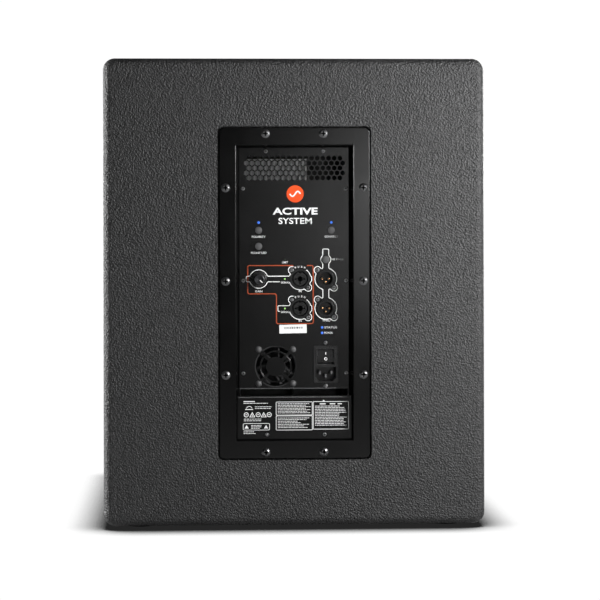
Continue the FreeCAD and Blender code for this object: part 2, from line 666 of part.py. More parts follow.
def amp_frame():
    """Moulded surround: flange, drafted recess, a ledge under the control panel and a raised shelf for the label plate."""
    skin = 3.0
    flange = pane(-FRAME_HALF_U, FRAME_HALF_U, -FRAME_HALF_V, FRAME_HALF_V, FRAME_W0, FRAME_W0 + FRAME_T, FRAME_CORNER_R)
    flange = round_edges(flange, 1.6, lambda b: b.YMin > REAR_Y - FRAME_W0 - 0.01)
    mouth_v, floor_v = (-MOUTH_HALF_V, MOUTH_HALF_V), (-FLOOR_TOP_V, FLOOR_TOP_V)

    def funnel(grow, w1):
        share = (w1 - FRAME_W0) / (FRAME_BACK_W - FRAME_W0)
        half_u = MOUTH_HALF_U + (FLOOR_HALF_U - MOUTH_HALF_U) * share + grow
        half_v = mouth_v[1] + (floor_v[1] - mouth_v[1]) * share + grow
        mouth = (mouth_v[0] - grow, mouth_v[1] + grow)
        return taper_block(MOUTH_HALF_U + grow, mouth, FRAME_W0, half_u, (-half_v, half_v), w1)

    floor_w, shelf_w = PANEL_W0 + SHEET, LABEL_W0 + SHEET
    shelf_top_v = LABEL_V1 + 1.6
    deep = funnel(0, floor_w).cut(pane(-100, 100, -200, shelf_top_v, 0, 40))
    shallow = funnel(0, shelf_w)
    window = pane(-FLOOR_HALF_U + LEDGE, FLOOR_HALF_U - LEDGE, shelf_top_v, FLOOR_TOP_V - LEDGE, 0, 40, 2.0)
    half_u = FLOOR_HALF_U - 1.0
    behind_vent = pane(-half_u, half_u, VENT_AT[1] - 15.5, VENT_AT[1] + 15.5, 0, 40, 2.0)
    behind_slot = pane(-half_u, half_u, shelf_top_v, PANEL_V0 + 1.5, 0, 40)
    under_shelf = pane(-62, 62, -164, shelf_top_v - 3, shelf_w + 2.5, 40)
    body = joined([flange, funnel(skin, FRAME_BACK_W)])
    holes = [peg(u, v, 0, 10, 2.8) for u, v in FRAME_SCREWS]
    holes += [peg(u, v, 20, 40, 1.3) for u, v in PANEL_SCREWS]
    holes += [peg(u, v, 10, 40, 1.3) for u, v in LABEL_SCREWS]
    return cut_all(body, [deep, shallow, window, behind_vent, behind_slot, under_shelf, *holes])


def amp_gasket():
    w0, w1 = FRAME_W0 + FRAME_T, REBATE
    outer = pane(-FRAME_HALF_U + 2, FRAME_HALF_U - 2, -FRAME_HALF_V + 2, FRAME_HALF_V - 2, w0, w1, 5.0)
    inner = pane(-76, 76, -181.5, 181.5, w0 - 1, w1 + 1, 4.0)
    return cut_all(outer.cut(inner), [peg(u, v, w0 - 1, w1 + 1, 2.8) for u, v in FRAME_SCREWS])


def frame_screws():
    return [pan_screw(u, v, FRAME_W0, 5.3, 1.8, 1.95, 13.0) for u, v in FRAME_SCREWS]


def panel_screws():
    screws = [pan_screw(u, v, PANEL_W0, 2.3, 1.2, 1.25, 5.0) for u, v in PANEL_SCREWS]
    return screws + [pan_screw(u, v, LABEL_W0, 2.3, 1.2, 1.25, 5.0) for u, v in LABEL_SCREWS]


def hexagon_peg(u, v, w0, w1, across_flats):
    """A six-sided prism with two corners up and down."""
    radius = across_flats / math.sqrt(3)
    turns = [math.radians(90 + 60 * i) for i in range(6)]
    corners = [at(u + radius * math.cos(a), v + radius * math.sin(a), w1) for a in turns]
    return Part.Face(Part.makePolygon([*corners, corners[0]])).extrude(Vector(0, w1 - w0, 0))


def vent_places():
    places = []
    for row in range(VENT_ROWS):
        count = VENT_COLUMNS + row % 2
        v = VENT_AT[1] + (VENT_ROWS // 2 - row) * VENT_PITCH * math.sin(math.pi / 3)
        places += [(VENT_AT[0] + (i - (count - 1) / 2) * VENT_PITCH, v) for i in range(count)]
    return places


def fan_guard_slots(w0, w1):
    """Openings that leave a middle disc, one ring and four diagonal spokes over the fan."""
    u, v = FAN
    return [sector(u, v, w0, w1, r0, r1, 90 * i, half) for r0, r1, half in GUARD_RINGS for i in range(4)]


def control_panel():
    """Sheet-metal panel with every opening its controls need."""
    w0, w1 = PANEL_W0, PANEL_W0 + SHEET
    sheet = pane(-PANEL_HALF_U, PANEL_HALF_U, PANEL_V0, PANEL_V1, w0, w1, 1.5)
    a, b = w0 - 1, w1 + 1
    holes = [hexagon_peg(u, v, a, b, VENT_FLATS) for u, v in vent_places()]
    holes += fan_guard_slots(a, b)
    holes += [peg(u, v, a, b, BUTTON_R + 0.4) for u, v in BUTTONS.values()]
    holes += [peg(u, v, a, b, 1.6) for u, v in BLUE_LEDS]
    holes += [peg(u, v, a, b, 1.1) for u, v in SIGNAL_LEDS]
    holes += [peg(u, v, a, b, 1.35) for u, v in PANEL_SCREWS]
    holes.append(peg(*KNOB, a, b, 4.0))
    for u, v in COMBOS:
        holes.append(peg(u, v, a, b, COMBO_SHELL_R + 0.2))
        holes.append(sector(u, v, a, b, LATCH_R0 - 0.3, LATCH_R1 + 0.3, 90, LATCH_HALF_DEG + 1.2))
    holes += [peg(u, v, a, b, THRU_SHELL_R + 0.2) for u, v in THRUS]
    holes += [peg(u, v, a, b, 1.4) for u, v in connector_screw_places()]
    holes += [peg(u, v, a, b, 1.9) for u, v in rivet_places()]
    u, v = INLET
    holes.append(pane(u - INLET_HALF_U + 1, u + INLET_HALF_U - 1, v - INLET_HALF_V + 1, v + INLET_HALF_V - 1, a, b))
    return cut_all(sheet, holes)


def label_plate():
    sheet = pane(-LABEL_HALF_U, LABEL_HALF_U, LABEL_V0, LABEL_V1, LABEL_W0, LABEL_W0 + SHEET, 1.0)
    return cut_all(sheet, [peg(u, v, 0, 40, 1.35) for u, v in LABEL_SCREWS])


def amp_tub():
    """Sheet-steel box that seals the amplifier from the air in the cabinet."""
    t = 1.2
    box = pane(-TUB_HALF_U, TUB_HALF_U, TUB_V0, TUB_V1, FRAME_BACK_W, TUB_BACK_W, 3.0)
    inner = pane(-TUB_HALF_U + t, TUB_HALF_U - t, TUB_V0 + t, TUB_V1 - t, FRAME_BACK_W - 1, TUB_BACK_W - t, 2.0)
    x, y, z = GLAND
    return joined([box.cut(inner), rod_y(x, y - 6, y, z, 6.0)])


def heat_sink():
    """Finned aluminium behind the vent, on the side the power devices sit."""
    u0, u1, v0, v1 = -61.0, 16.0, 122.0, 160.0
    base = pane(u0, u1, v0, v1, 58, 66)
    count, thick = 23, 2.2
    pitch = (u1 - u0 - thick) / (count - 1)
    starts = [u0 + pitch * i for i in range(count)]
    return joined([base, *[pane(start, start + thick, v0, v1, 30, 58) for start in starts]])


def power_board():
    """Power amplifier and supply board with its capacitors, inductors and device bars, as one soldered assembly."""
    board_w = 92.0
    board = pane(-62, 62, -165, 165, board_w, board_w + 1.6)
    pieces = [board]
    for v in (62.0, 96.0):
        for u in (14.0, 46.0):
            pieces.append(peg(u, v, board_w - 36, board_w, 14.0))
    for u in (-46.0, -20.0):
        pieces.append(pane(u - 9, u + 9, -20, 12, board_w - 22, board_w, 3.0))
    pieces.append(pane(-60, 15, 124, 158, 66, board_w))
    return joined(pieces)


def transformer():
    """Supply transformer on the board: a ferrite frame round a wound bobbin."""
    u, v, w1 = 26.0, -118.0, 92.0
    core = pane(u - 26, u + 26, v - 21, v + 21, w1 - 40, w1, 1.5)
    core = core.cut(pane(u - 17, u + 17, v - 30, v + 30, w1 - 32, w1 - 8))
    winding = pane(u - 16.6, u + 16.6, v - 26, v + 26, w1 - 31.6, w1 - 8.4, 5.0)
    return [core, winding]


def input_board():
    """Signal board behind the jacks with the push switches and its processor."""
    board_w = 54.0
    board = pane(-60, 60, -34, 92, board_w, board_w + 1.6)
    pieces = [board]
    for u, v in BUTTONS.values():
        pieces.append(pane(u - 3.5, u + 3.5, v - 3.5, v + 3.5, SWITCH_W, board_w))
    pieces.append(pane(-8, 8, 60, 76, board_w - 2, board_w))
    return joined(pieces)


# ---- controls ----


def button(place):
    """Domed cap with a collar behind the panel and a stem that reaches its switch."""
    u, v = place
    top_w, collar_w = PANEL_W0 - BUTTON_UP, PANEL_W0 + SHEET + 0.3
    cap = [dome(u, v, top_w, BUTTON_R, 0.5), peg(u, v, top_w, collar_w, BUTTON_R)]
    collar = peg(u, v, collar_w, collar_w + 1.2, BUTTON_R + 1)
    return joined([*cap, collar, peg(u, v, collar_w, SWITCH_W - BUTTON_TRAVEL - 0.1, 1.8)])


def front_light():
    """Lens of the light in the front badge."""
    return rod_y(0, FRONT_Y + 0.2, FRONT_Y + 0.8, BADGE_Z - 13, 2.0)


def led_lenses(places, radius):
    lenses = []
    for u, v in places:
        back_w = PANEL_W0 + SHEET
        stem, collar = peg(u, v, PANEL_W0, back_w + 4, radius), peg(u, v, back_w, back_w + 1, radius + 0.8)
        lenses.append(joined([dome(u, v, PANEL_W0, radius, 0.6), stem, collar]))
    return lenses


def gain_pot():
    """Potentiometer body and bushing; the shaft turns with the knob."""
    u, v = KNOB
    w = PANEL_W0 + SHEET
    body = pane(u - 8, u + 8, v - 9, v + 8, w, w + 12, 1.0)
    bush = peg(u, v, PANEL_W0 - 2.0, w, 3.9)
    return joined([body, bush]).cut(peg(u, v, PANEL_W0 - 5, w + 12.01, 3.1))


def gain_knob():
    """Skirted knob with a raised pointer and its shaft."""
    u, v = KNOB
    base_w = PANEL_W0 - 0.5
    skirt = peg(u, v, base_w - 3.5, base_w, 9.2)
    skirt = round_edges(skirt, 1.0, lambda b: b.YMin > REAR_Y - base_w + 3.49)
    cap = peg(u, v, base_w - 13.0, base_w - 3.5, 6.6)
    flutes = []
    for i in range(12):
        a = math.radians(30 * i + 15)
        flutes.append(peg(u + 7.3 * math.cos(a), v + 7.3 * math.sin(a), base_w - 14, base_w - 3.5, 1.1))
    cap = round_edges(cap, 0.8, lambda b: b.YMin > REAR_Y - base_w + 12.99)
    cap = cut_all(cap, flutes)
    hollow = peg(u, v, base_w - 3.0, base_w + 0.1, 5.0)
    shaft = peg(u, v, base_w - 4, PANEL_W0 + SHEET + 10, 3.0)
    pointer = pane(u - 0.5, u + 0.5, v + 1.5, v + 6.2, base_w - 13.4, base_w - 12.5)
    pointer = turned(pointer, at(u, v, 0), Y_AXIS, KNOB_POINTER_DEG - 90)
    return joined([cap, skirt, pointer]).cut(hollow).fuse(shaft).removeSplitter()


def connector_screw_places():
    places = []
    for u, v in COMBOS + THRUS:
        places += [(u + eu, v + ev) for eu, ev in EARS]
    u, v = INLET
    return places + [(u, v + INLET_SCREW_V), (u, v - INLET_SCREW_V)]


def connector_screws():
    return [pan_screw(u, v, PANEL_W0, 2.4, 1.1, 1.3, 4.2) for u, v in connector_screw_places()]


def connector_flange(u, v):
    """The plate behind the panel that a round connector is screwed by."""
    w = PANEL_W0 + SHEET
    plate = peg(u, v, w, w + 3, 12.6)
    ears = [(u + eu, v + ev) for eu, ev in EARS]
    body = joined([plate, *[peg(eu, ev, w, w + 3, 3.6) for eu, ev in ears]])
    return cut_all(body, [peg(eu, ev, w - 1, w + 4, 1.31) for eu, ev in ears])


def combo_jack(place):
    """Input socket that takes either a three-pin plug or a 6.3 mm jack."""
    u, v = place
    face_w = PANEL_W0 - 0.8
    back_w = PANEL_W0 + SHEET + JACK_DEPTH
    body = joined(
        [connector_flange(u, v), peg(u, v, face_w, PANEL_W0 + SHEET, COMBO_SHELL_R), peg(u, v, 26, back_w, 11.5)]
    )
    gap = ring(u, v, face_w - 1, face_w + 14, COMBO_GAP_R, COMBO_INSERT_R)
    jack = peg(u, v, face_w - 1, back_w - 2, JACK_R)
    contacts = []
    for turn in (180.0, 0.0, 270.0):
        a = math.radians(turn)
        cu, cv = u + 5.2 * math.cos(a), v + 5.2 * math.sin(a)
        contacts.append(pane(cu - 1.1, cu + 1.1, cv - 0.9, cv + 0.9, face_w - 1, face_w + 12))
    key = pane(u - 1.2, u + 1.2, v + COMBO_INSERT_R - 1.2, v + COMBO_GAP_R + 0.1, face_w - 1, face_w + 14)
    notch = sector(u, v, PANEL_W0 + SHEET - 0.1, PANEL_W0 + SHEET + 3.1, LATCH_R0 - 0.6, 18, 90, LATCH_HALF_DEG + 3)
    return cut_all(body, [gap, jack, *contacts, key, notch])


def combo_latch(place):
    """Press tab that releases the plug in a combo socket."""
    u, v = place
    face_w = PANEL_W0 - LATCH_UP
    tab = sector(u, v, face_w, PANEL_W0 + SHEET + 2.0, LATCH_R0, LATCH_R1, 90, LATCH_HALF_DEG)
    return round_edges(tab, 0.5, lambda b: b.YMin > REAR_Y - face_w - 0.01)


def thru_connector(place):
    """Male output socket; its three pins are a node of their own."""
    u, v = place
    face_w = PANEL_W0 - 1.0
    back_w = PANEL_W0 + SHEET + 20
    body = joined([connector_flange(u, v), peg(u, v, face_w, back_w, THRU_SHELL_R)])
    body = round_edges(body, 0.4, lambda b: b.YMin > REAR_Y - face_w - 0.01)
    floor_w = face_w + THRU_DEPTH
    holes = [peg(u, v, face_w - 1, floor_w, THRU_BORE_R)]
    holes += [peg(pu, pv, floor_w - 1, floor_w + 6, 1.25) for pu, pv in pin_places(place)]
    return cut_all(body, holes)


def pin_places(place):
    u, v = place
    turns = [math.radians(t) for t in (180.0, 0.0, 270.0)]
    return [(u + PIN_CIRCLE_R * math.cos(a), v + PIN_CIRCLE_R * math.sin(a)) for a in turns]


def contact_pins():
    """The pins of both output sockets and the three blades of the mains inlet."""
    pins = []
    face_w = PANEL_W0 - 1.0
    for place in THRUS:
        for pu, pv in pin_places(place):
            pin = peg(pu, pv, face_w + 3, face_w + THRU_DEPTH + 6, 1.2)
            pins.append(round_edges(pin, 0.8, lambda b: b.YMin > REAR_Y - face_w - 3.01))
    for blade_u, blade_v in BLADES:
        u, v = INLET[0] + blade_u, INLET[1] + CAVITY_V + blade_v
        pins.append(pane(u - 1.0, u + 1.0, v - 2.0, v + 2.0, PANEL_W0 + 1, PANEL_W0 + 24, 0.6))
    return pins


def rivet_places():
    half = FAN_PITCH / 2
    return [(FAN[0] + half * i, FAN[1] + half * j) for i in (-1, 1) for j in (-1, 1)]


def fan_rivets():
    """Rubber plugs that hold the fan to the panel."""
    rivets = []
    for u, v in rivet_places():
        back_w = PANEL_W0 + SHEET + FAN_DEPTH
        pieces = [dome(u, v, PANEL_W0, 3.9, 2.6), peg(u, v, PANEL_W0, back_w, 1.8), peg(u, v, back_w, back_w + 2, 2.8)]
        rivets.append(joined(pieces))
    return rivets


def fan_housing():
    """Square fan frame with its round duct and a motor mount on three arms."""
    u, v = FAN
    half, w0 = FAN_SIZE / 2, PANEL_W0 + SHEET
    w1 = w0 + FAN_DEPTH
    frame = pane(u - half, u + half, v - half, v + half, w0, w1, 3.0).cut(peg(u, v, w0 - 1, w1 + 1, 23.6))
    mount = peg(u, v, w1 - 2.0, w1, 11.5)
    arms = []
    for i in range(3):
        arm = pane(u - 1.5, u + 1.5, v + 10, v + 24.5, w1 - 2.0, w1)
        arms.append(turned(arm, at(u, v, 0), Y_AXIS, 120 * i))
    body = joined([frame, mount, *arms])
    return cut_all(body, [peg(pu, pv, w0 - 1, w1 + 1, 1.9) for pu, pv in rivet_places()])


def fan_rotor():
    """Hub and seven pitched blades."""
    u, v = FAN
    w0, w1 = PANEL_W0 + SHEET + 1.5, PANEL_W0 + SHEET + FAN_DEPTH - 2.6
    hub = peg(u, v, w0, w1, 10.5)
    hub = round_edges(hub, 1.0, lambda b: b.YMin > REAR_Y - w0 - 0.01)
    depth = w1 - w0 - 1.4
    blades = []
    for i in range(7):
        blade = Part.makeBox(1.1, 14.0, 13.2, Vector(-0.55, -7.0, 0))
        blade.rotate(Vector(0, 0, 0), Z_AXIS, 40)
        blade.translate(at(u, v + 9.3, (w0 + w1) / 2))
        blades.append(turned(blade, at(u, v, 0), Y_AXIS, 360 / 7 * i))
    sweep = ring(u, v, w0 + 0.7, w0 + 0.7 + depth, 22.4, 9.5)
    blades = Part.makeCompound(blades).common(sweep)
    return joined([hub, *blades.Solids])


def inlet_housing():
    """Mains inlet and switch bezel moulded in one piece."""
    u, v = INLET
    back_w = PANEL_W0 + 26
    face_w = PANEL_W0 - INLET_UP
    flange = pane(u - INLET_HALF_U, u + INLET_HALF_U, v - INLET_HALF_V, v + INLET_HALF_V, face_w, PANEL_W0, 2.0)
    flange = round_edges(flange, 0.6, lambda b: b.YMin > REAR_Y - face_w - 0.01)
    shrink = 1.2
    body = pane(
        u - INLET_HALF_U + shrink, u + INLET_HALF_U - shrink, v - INLET_HALF_V + shrink, v + INLET_HALF_V - shrink,
        PANEL_W0, back_w,
    )  # fmt: skip
    su, sv = WELL_HALF_U, WELL_HALF_V
    well = pane(u - su, u + su, v + ROCKER_V - sv, v + ROCKER_V + sv, face_w - 1, PANEL_W0 + 12)
    bu, bv = su + BEZEL_U, sv + BEZEL_V
    bezel = pane(u - bu, u + bu, v + ROCKER_V - bv, v + ROCKER_V + bv, face_w - 0.8, face_w, 0.8)
    bearing = trunnion(TRUNNION_R + 0.2, TRUNNION_HALF_U + 0.4)
    cavity = inlet_cavity(face_w - 1, PANEL_W0 + 18)
    slots = [
        pane(u + bu - 1.05, u + bu + 1.05, v + CAVITY_V + bv - 2.05, v + CAVITY_V + bv + 2.05, PANEL_W0 + 16, back_w + 1)
        for bu, bv in BLADES
    ]
    return cut_all(joined([flange, body, bezel]), [well, cavity, bearing, *slots])


def inlet_cavity(w0, w1):
    """The inlet's opening, with its two lower corners cut off."""
    u, v = INLET[0], INLET[1] + CAVITY_V
    hu, hv, c = CAVITY_HALF_U, CAVITY_HALF_V, CAVITY_CHAMFER
    corners = [(-hu, hv), (hu, hv), (hu, -hv + c), (hu - c, -hv), (-hu + c, -hv), (-hu, -hv + c)]
    points = [at(u + cu, v + cv, w1) for cu, cv in corners]
    return Part.Face(Part.makePolygon([*points, points[0]])).extrude(Vector(0, w1 - w0, 0))


def trunnion(radius, half_u):
    """Pivot pin across the rocker."""
    return rod_x(-1, INLET[0] - half_u, INLET[0] + half_u, REAR_Y - PIVOT_W, FRAME_Z + INLET[1] + ROCKER_V, radius)


def power_rocker():
    """Rocker with two flat faces that meet over its pivot; it rests with its upper half pressed in."""
    u, v = INLET[0], INLET[1] + ROCKER_V
    dip_w, end_w, back_w = PANEL_W0 - 1.2, PANEL_W0 - 1.6, PANEL_W0 + 6
    end_v, back_v = ROCKER_HALF_V, ROCKER_HALF_V - 1.5
    profile = [(-end_v, end_w), (0, dip_w), (end_v, end_w), (back_v, back_w), (-back_v, back_w)]
    half_u = ROCKER_HALF_U
    corners = [at(u + half_u, v + pv, pw) for pv, pw in profile]
    body = Part.Face(Part.makePolygon([*corners, corners[0]])).extrude(Vector(2 * half_u, 0, 0))
    body = turned(body, at(u, v, PIVOT_W), X_AXIS, ROCKER_TILT_DEG)
    return joined([body, trunnion(TRUNNION_R, TRUNNION_HALF_U)])


def main():
    os.makedirs("parts", exist_ok=True)
    walls = cabinet_walls()
    parts = {
        "top_panel": top_panel(walls),
        "bottom_panel": bottom_panel(walls),
        "left_side_panel": side_panel(walls, -1),
        "right_side_panel": side_panel(walls, 1),
        "rear_panel": rear_panel(),
        "front_baffle": front_baffle(),
        "port_shelf": port_shelf(),
        "port_divider": port_divider(),
        "window_brace": window_brace(),
        "front_grille": front_grille(),
        "grille_foam": grille_foam(),
        "grille_blocks": grille_blocks(),
        "grille_screws": grille_screws(),
        "front_badge": front_badge(),
        "rubber_feet": rubber_feet(),
        "pole_socket": pole_socket(),
        "left_handle_cup": handle_cup(-1),
        "right_handle_cup": handle_cup(1),
        "handle_grips": [handle_grip(-1), handle_grip(1)],
        "cabinet_screws": cabinet_screws(),
        "woofer_basket": woofer_basket(),
        "woofer_motor_steel": woofer_motor_steel(),
        "woofer_magnet": woofer_magnet(),
        "woofer_surround": woofer_surround(),
        "woofer_spider": woofer_spider(),
        "woofer_cone": woofer_cone(),
        "dust_cap": dust_cap(),
        "voice_coil": voice_coil(),
        "woofer_screws": woofer_screws(),
        "woofer_lead": woofer_lead(),
        "amp_frame": amp_frame(),
        "amp_gasket": amp_gasket(),
        "frame_screws": frame_screws(),
        "control_panel": control_panel(),
        "label_plate": label_plate(),
        "panel_screws": panel_screws(),
        "amp_tub": amp_tub(),
        "heat_sink": heat_sink(),
        "power_board": power_board(),
        "transformer": transformer(),
        "input_board": input_board(),
        "blue_led_lenses": [*led_lenses(BLUE_LEDS, 1.5), front_light()],
        "signal_led_lenses": led_lenses(SIGNAL_LEDS, 1.0),
        "gain_pot": gain_pot(),
        "gain_knob": gain_knob(),
        "combo_jacks": [combo_jack(place) for place in COMBOS],
        "latch_a": combo_latch(COMBOS[0]),
        "latch_b": combo_latch(COMBOS[1]),
        "thru_connectors": [thru_connector(place) for place in THRUS],
        "contact_pins": contact_pins(),
        "connector_screws": connector_screws(),
        "fan_housing": fan_housing(),
        "fan_rotor": fan_rotor(),
        "fan_rivets": fan_rivets(),
        "inlet_housing": inlet_housing(),
        "power_rocker": power_rocker(),
    }
    for name, place in BUTTONS.items():
        parts[name] = button(place)
    for name, shape in parts.items():
        export(name, shape)
    print(len(parts), "nodes")


main()
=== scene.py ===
"""Looks of a powered subwoofer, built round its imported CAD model.

Frame: +Z up, the grille faces -Y and the amplifier faces +Y, in metres. The amplifier's pieces are placed by on_panel()
in millimetres as seen from behind: u right, v up from the middle of the amplifier frame, w in from the rear face.
"""

import math
import random

import bpy
import numpy as np
from mathutils import Matrix, Vector


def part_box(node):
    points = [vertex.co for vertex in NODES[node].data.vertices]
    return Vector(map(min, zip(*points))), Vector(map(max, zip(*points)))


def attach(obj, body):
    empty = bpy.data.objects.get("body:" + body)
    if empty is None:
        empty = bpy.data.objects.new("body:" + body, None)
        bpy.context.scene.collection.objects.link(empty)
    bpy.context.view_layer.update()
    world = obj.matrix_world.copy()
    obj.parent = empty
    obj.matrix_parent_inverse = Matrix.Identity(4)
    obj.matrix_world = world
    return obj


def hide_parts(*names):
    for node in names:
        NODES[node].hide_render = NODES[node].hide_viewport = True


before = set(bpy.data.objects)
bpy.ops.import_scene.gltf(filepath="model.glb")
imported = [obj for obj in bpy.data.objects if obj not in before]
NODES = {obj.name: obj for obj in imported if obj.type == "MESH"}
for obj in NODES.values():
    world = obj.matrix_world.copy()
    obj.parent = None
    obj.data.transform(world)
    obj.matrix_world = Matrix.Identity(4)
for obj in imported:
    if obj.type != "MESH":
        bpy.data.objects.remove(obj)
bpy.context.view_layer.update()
MM = 0.001

# ---- places taken from the CAD ----


def middle(node):
    low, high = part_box(node)
    return (low + high) / 2


REAR_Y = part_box("rear_panel")[1].y
FRONT_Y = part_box("top_panel")[0].y
PANEL_Z = middle("amp_frame").z


def panel_place(node):
    """(u, v) of the middle of a node, in millimetres."""
    at = middle(node)
    return -at.x / MM, (at.z - PANEL_Z) / MM


def depth_of(node):
    """w of a node's outermost face."""
    return (REAR_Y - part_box(node)[1].y) / MM


def on_panel(u, v, w):
    return Vector((-u * MM, REAR_Y - w * MM, PANEL_Z + v * MM))


PANEL_W = depth_of("control_panel")
LABEL_W = depth_of("label_plate")
KNOB = panel_place("gain_knob")
LATCH_OUT = 13.96
COMBO_A = (panel_place("latch_a")[0], panel_place("latch_a")[1] - LATCH_OUT)
COMBO_B = (panel_place("latch_b")[0], panel_place("latch_b")[1] - LATCH_OUT)
THRU_U = panel_place("thru_connectors")[0]
THRU_A, THRU_B = (THRU_U, COMBO_A[1]), (THRU_U, COMBO_B[1])
HIGH_PASS = panel_place("high_pass_button")
POLARITY = panel_place("polarity_button")
FRONT_LIGHT = panel_place("front_light_button")
CONNECT = panel_place("connect_button")
FAN = panel_place("fan_housing")
INLET = panel_place("inlet_housing")
EARS = [(-9.7, 10.5), (9.7, -10.5)]
INLET_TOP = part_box("inlet_housing")[1].z

# ---- camera ----

SEEN_WIDTH = 0.7128
DISTANCE = 2.6
YAW = math.radians(2.85)
EYE_Z = 0.365
ROLL = math.radians(-0.13)
TARGET = Vector((-0.0064, REAR_Y, 0.2726))


def add_camera():
    """Level camera a little above the middle, with a small downward shift that keeps the verticals upright."""
    camera = bpy.data.objects.new("camera", bpy.data.cameras.new("camera"))
    bpy.context.scene.collection.objects.link(camera)
    camera.data.sensor_width = 36.0
    camera.data.lens = 36.0 * DISTANCE / SEEN_WIDTH
    camera.data.shift_y = (TARGET.z - EYE_Z) / SEEN_WIDTH
    away = Vector((math.sin(YAW), math.cos(YAW), 0))
    camera.location = Vector((TARGET.x, TARGET.y, EYE_Z)) + away * DISTANCE
    level = away.to_track_quat("Z", "Y").to_matrix()
    camera.rotation_euler = (level @ Matrix.Rotation(ROLL, 3, "Z")).to_euler()
    bpy.context.scene.camera = camera


add_camera()

# ---- materials ----


class Look:
    """A Principled material whose sockets are fixed values unless a pattern is linked to them."""

    def __init__(self, name, roughness=0.5, metallic=0.0, specular=0.5, **sockets):
        self.material = bpy.data.materials.new(name)
        self.material.use_nodes = True
        self.tree = self.material.node_tree
        self.shader = self.tree.nodes["Principled BSDF"]
        self.set("Roughness", roughness)
        self.set("Metallic", metallic)
        self.set("Specular IOR Level", specular)
        for socket, value in sockets.items():
            self.set(socket.replace("_", " "), value)
        self.place = self.add("ShaderNodeTexCoord").outputs["Object"]

    def add(self, kind, **settings):
        node = self.tree.nodes.new(kind)
        for key, value in settings.items():
            setattr(node, key, value)
        return node

    def set(self, socket, value):
        if isinstance(value, tuple) and len(value) == 3:
            value = (*value, 1.0)
        self.shader.inputs[socket].default_value = value

    def link(self, a, b):
        self.tree.links.new(a, b)

    def stretched(self, x=1.0, y=1.0, z=1.0):
        mapping = self.add("ShaderNodeMapping")
        mapping.inputs["Scale"].default_value = (x, y, z)
        self.link(self.place, mapping.inputs["Vector"])
        return mapping.outputs["Vector"]

    def height(self):
        split = self.add("ShaderNodeSeparateXYZ")
        self.link(self.place, split.inputs[0])
        return split.outputs["Z"]

    def noise(self, size, detail=3.0, place=None, roughness=0.5, distortion=0.0):
        """Noise whose features are about size metres across."""
        node = self.add("ShaderNodeTexNoise")
        node.inputs["Scale"].default_value = 1 / size
        node.inputs["Detail"].default_value = detail
        node.inputs["Roughness"].default_value = roughness
        node.inputs["Distortion"].default_value = distortion
        self.link(place or self.place, node.inputs["Vector"])
        return node.outputs["Fac"]

    def cells(self, size, feature="SMOOTH_F1", place=None, smooth=0.6):
        node = self.add("ShaderNodeTexVoronoi", feature=feature)
        node.inputs["Scale"].default_value = 1 / size
        if feature == "SMOOTH_F1":
            node.inputs["Smoothness"].default_value = smooth
        self.link(place or self.place, node.inputs["Vector"])
        return node.outputs["Distance"]

    def waves(self, size, direction="X", place=None, distortion=0.0, kind="BANDS"):
        node = self.add("ShaderNodeTexWave", wave_type=kind)
        if kind == "BANDS":
            node.bands_direction = direction
        node.inputs["Scale"].default_value = 0.314 / size
        node.inputs["Distortion"].default_value = distortion
        self.link(place or self.place, node.inputs["Vector"])
        return node.outputs["Fac"]

    def mix(self, a, b, share=0.5, operation="ADD"):
        """a plus share times b, or another operation on the two."""
        node = self.add("ShaderNodeMath", operation="MULTIPLY_ADD" if operation == "ADD" else operation)
        if operation == "ADD":
            self.link(b, node.inputs[0])
            node.inputs[1].default_value = share
            self.link(a, node.inputs[2])
        else:
            self.link(a, node.inputs[0])
            self.link(b, node.inputs[1])
        return node.outputs[0]

    def between(self, value, low, high, out_low, out_high):
        node = self.add("ShaderNodeMapRange")
        for socket, number in zip(("From Min", "From Max", "To Min", "To Max"), (low, high, out_low, out_high)):
            node.inputs[socket].default_value = number
        self.link(value, node.inputs["Value"])
        return node.outputs["Result"]

    def colours(self, value, *stops):
        """Base colour from a pattern: stops are (position, colour)."""
        ramp = self.add("ShaderNodeValToRGB")
        points = ramp.color_ramp.elements
        while len(points) < len(stops):
            points.new(0.5)
        for point, (position, colour) in zip(points, stops):
            point.position = position
            point.color = (*colour, 1.0)
        self.link(value, ramp.inputs["Fac"])
        self.link(ramp.outputs["Color"], self.shader.inputs["Base Color"])
        return self

    def roughness(self, value, low, high):
        self.link(self.between(value, 0.3, 0.7, low, high), self.shader.inputs["Roughness"])
        return self

    def bump(self, height, depth, strength=1.0):
        """Relief of about depth metres."""
        node = self.add("ShaderNodeBump")
        node.inputs["Strength"].default_value = strength
        node.inputs["Distance"].default_value = depth
        self.link(height, node.inputs["Height"])
        self.link(node.outputs["Normal"], self.shader.inputs["Normal"])
        return self


def grey(value):
    return (value, value, value * 1.02)


def moulded(name, colour, roughness=0.45, grain=0.0006, depth=0.00004, spread=0.06, **sockets):
    """Moulded or painted surface: fine grain, faint blotches and uneven gloss."""
    look = Look(name, roughness, **sockets)
    fine, blotch = look.noise(grain, 2), look.noise(0.04, 3)
    low = tuple(c * 0.8 for c in colour)
    high = tuple(min(1.0, c * 1.25) for c in colour)
    look.colours(look.mix(blotch, fine, 0.3), (0.35, low), (0.95, high))
    look.roughness(look.mix(blotch, fine, 0.25), roughness - spread, roughness + spread)
    look.bump(fine, depth)
    return look.material


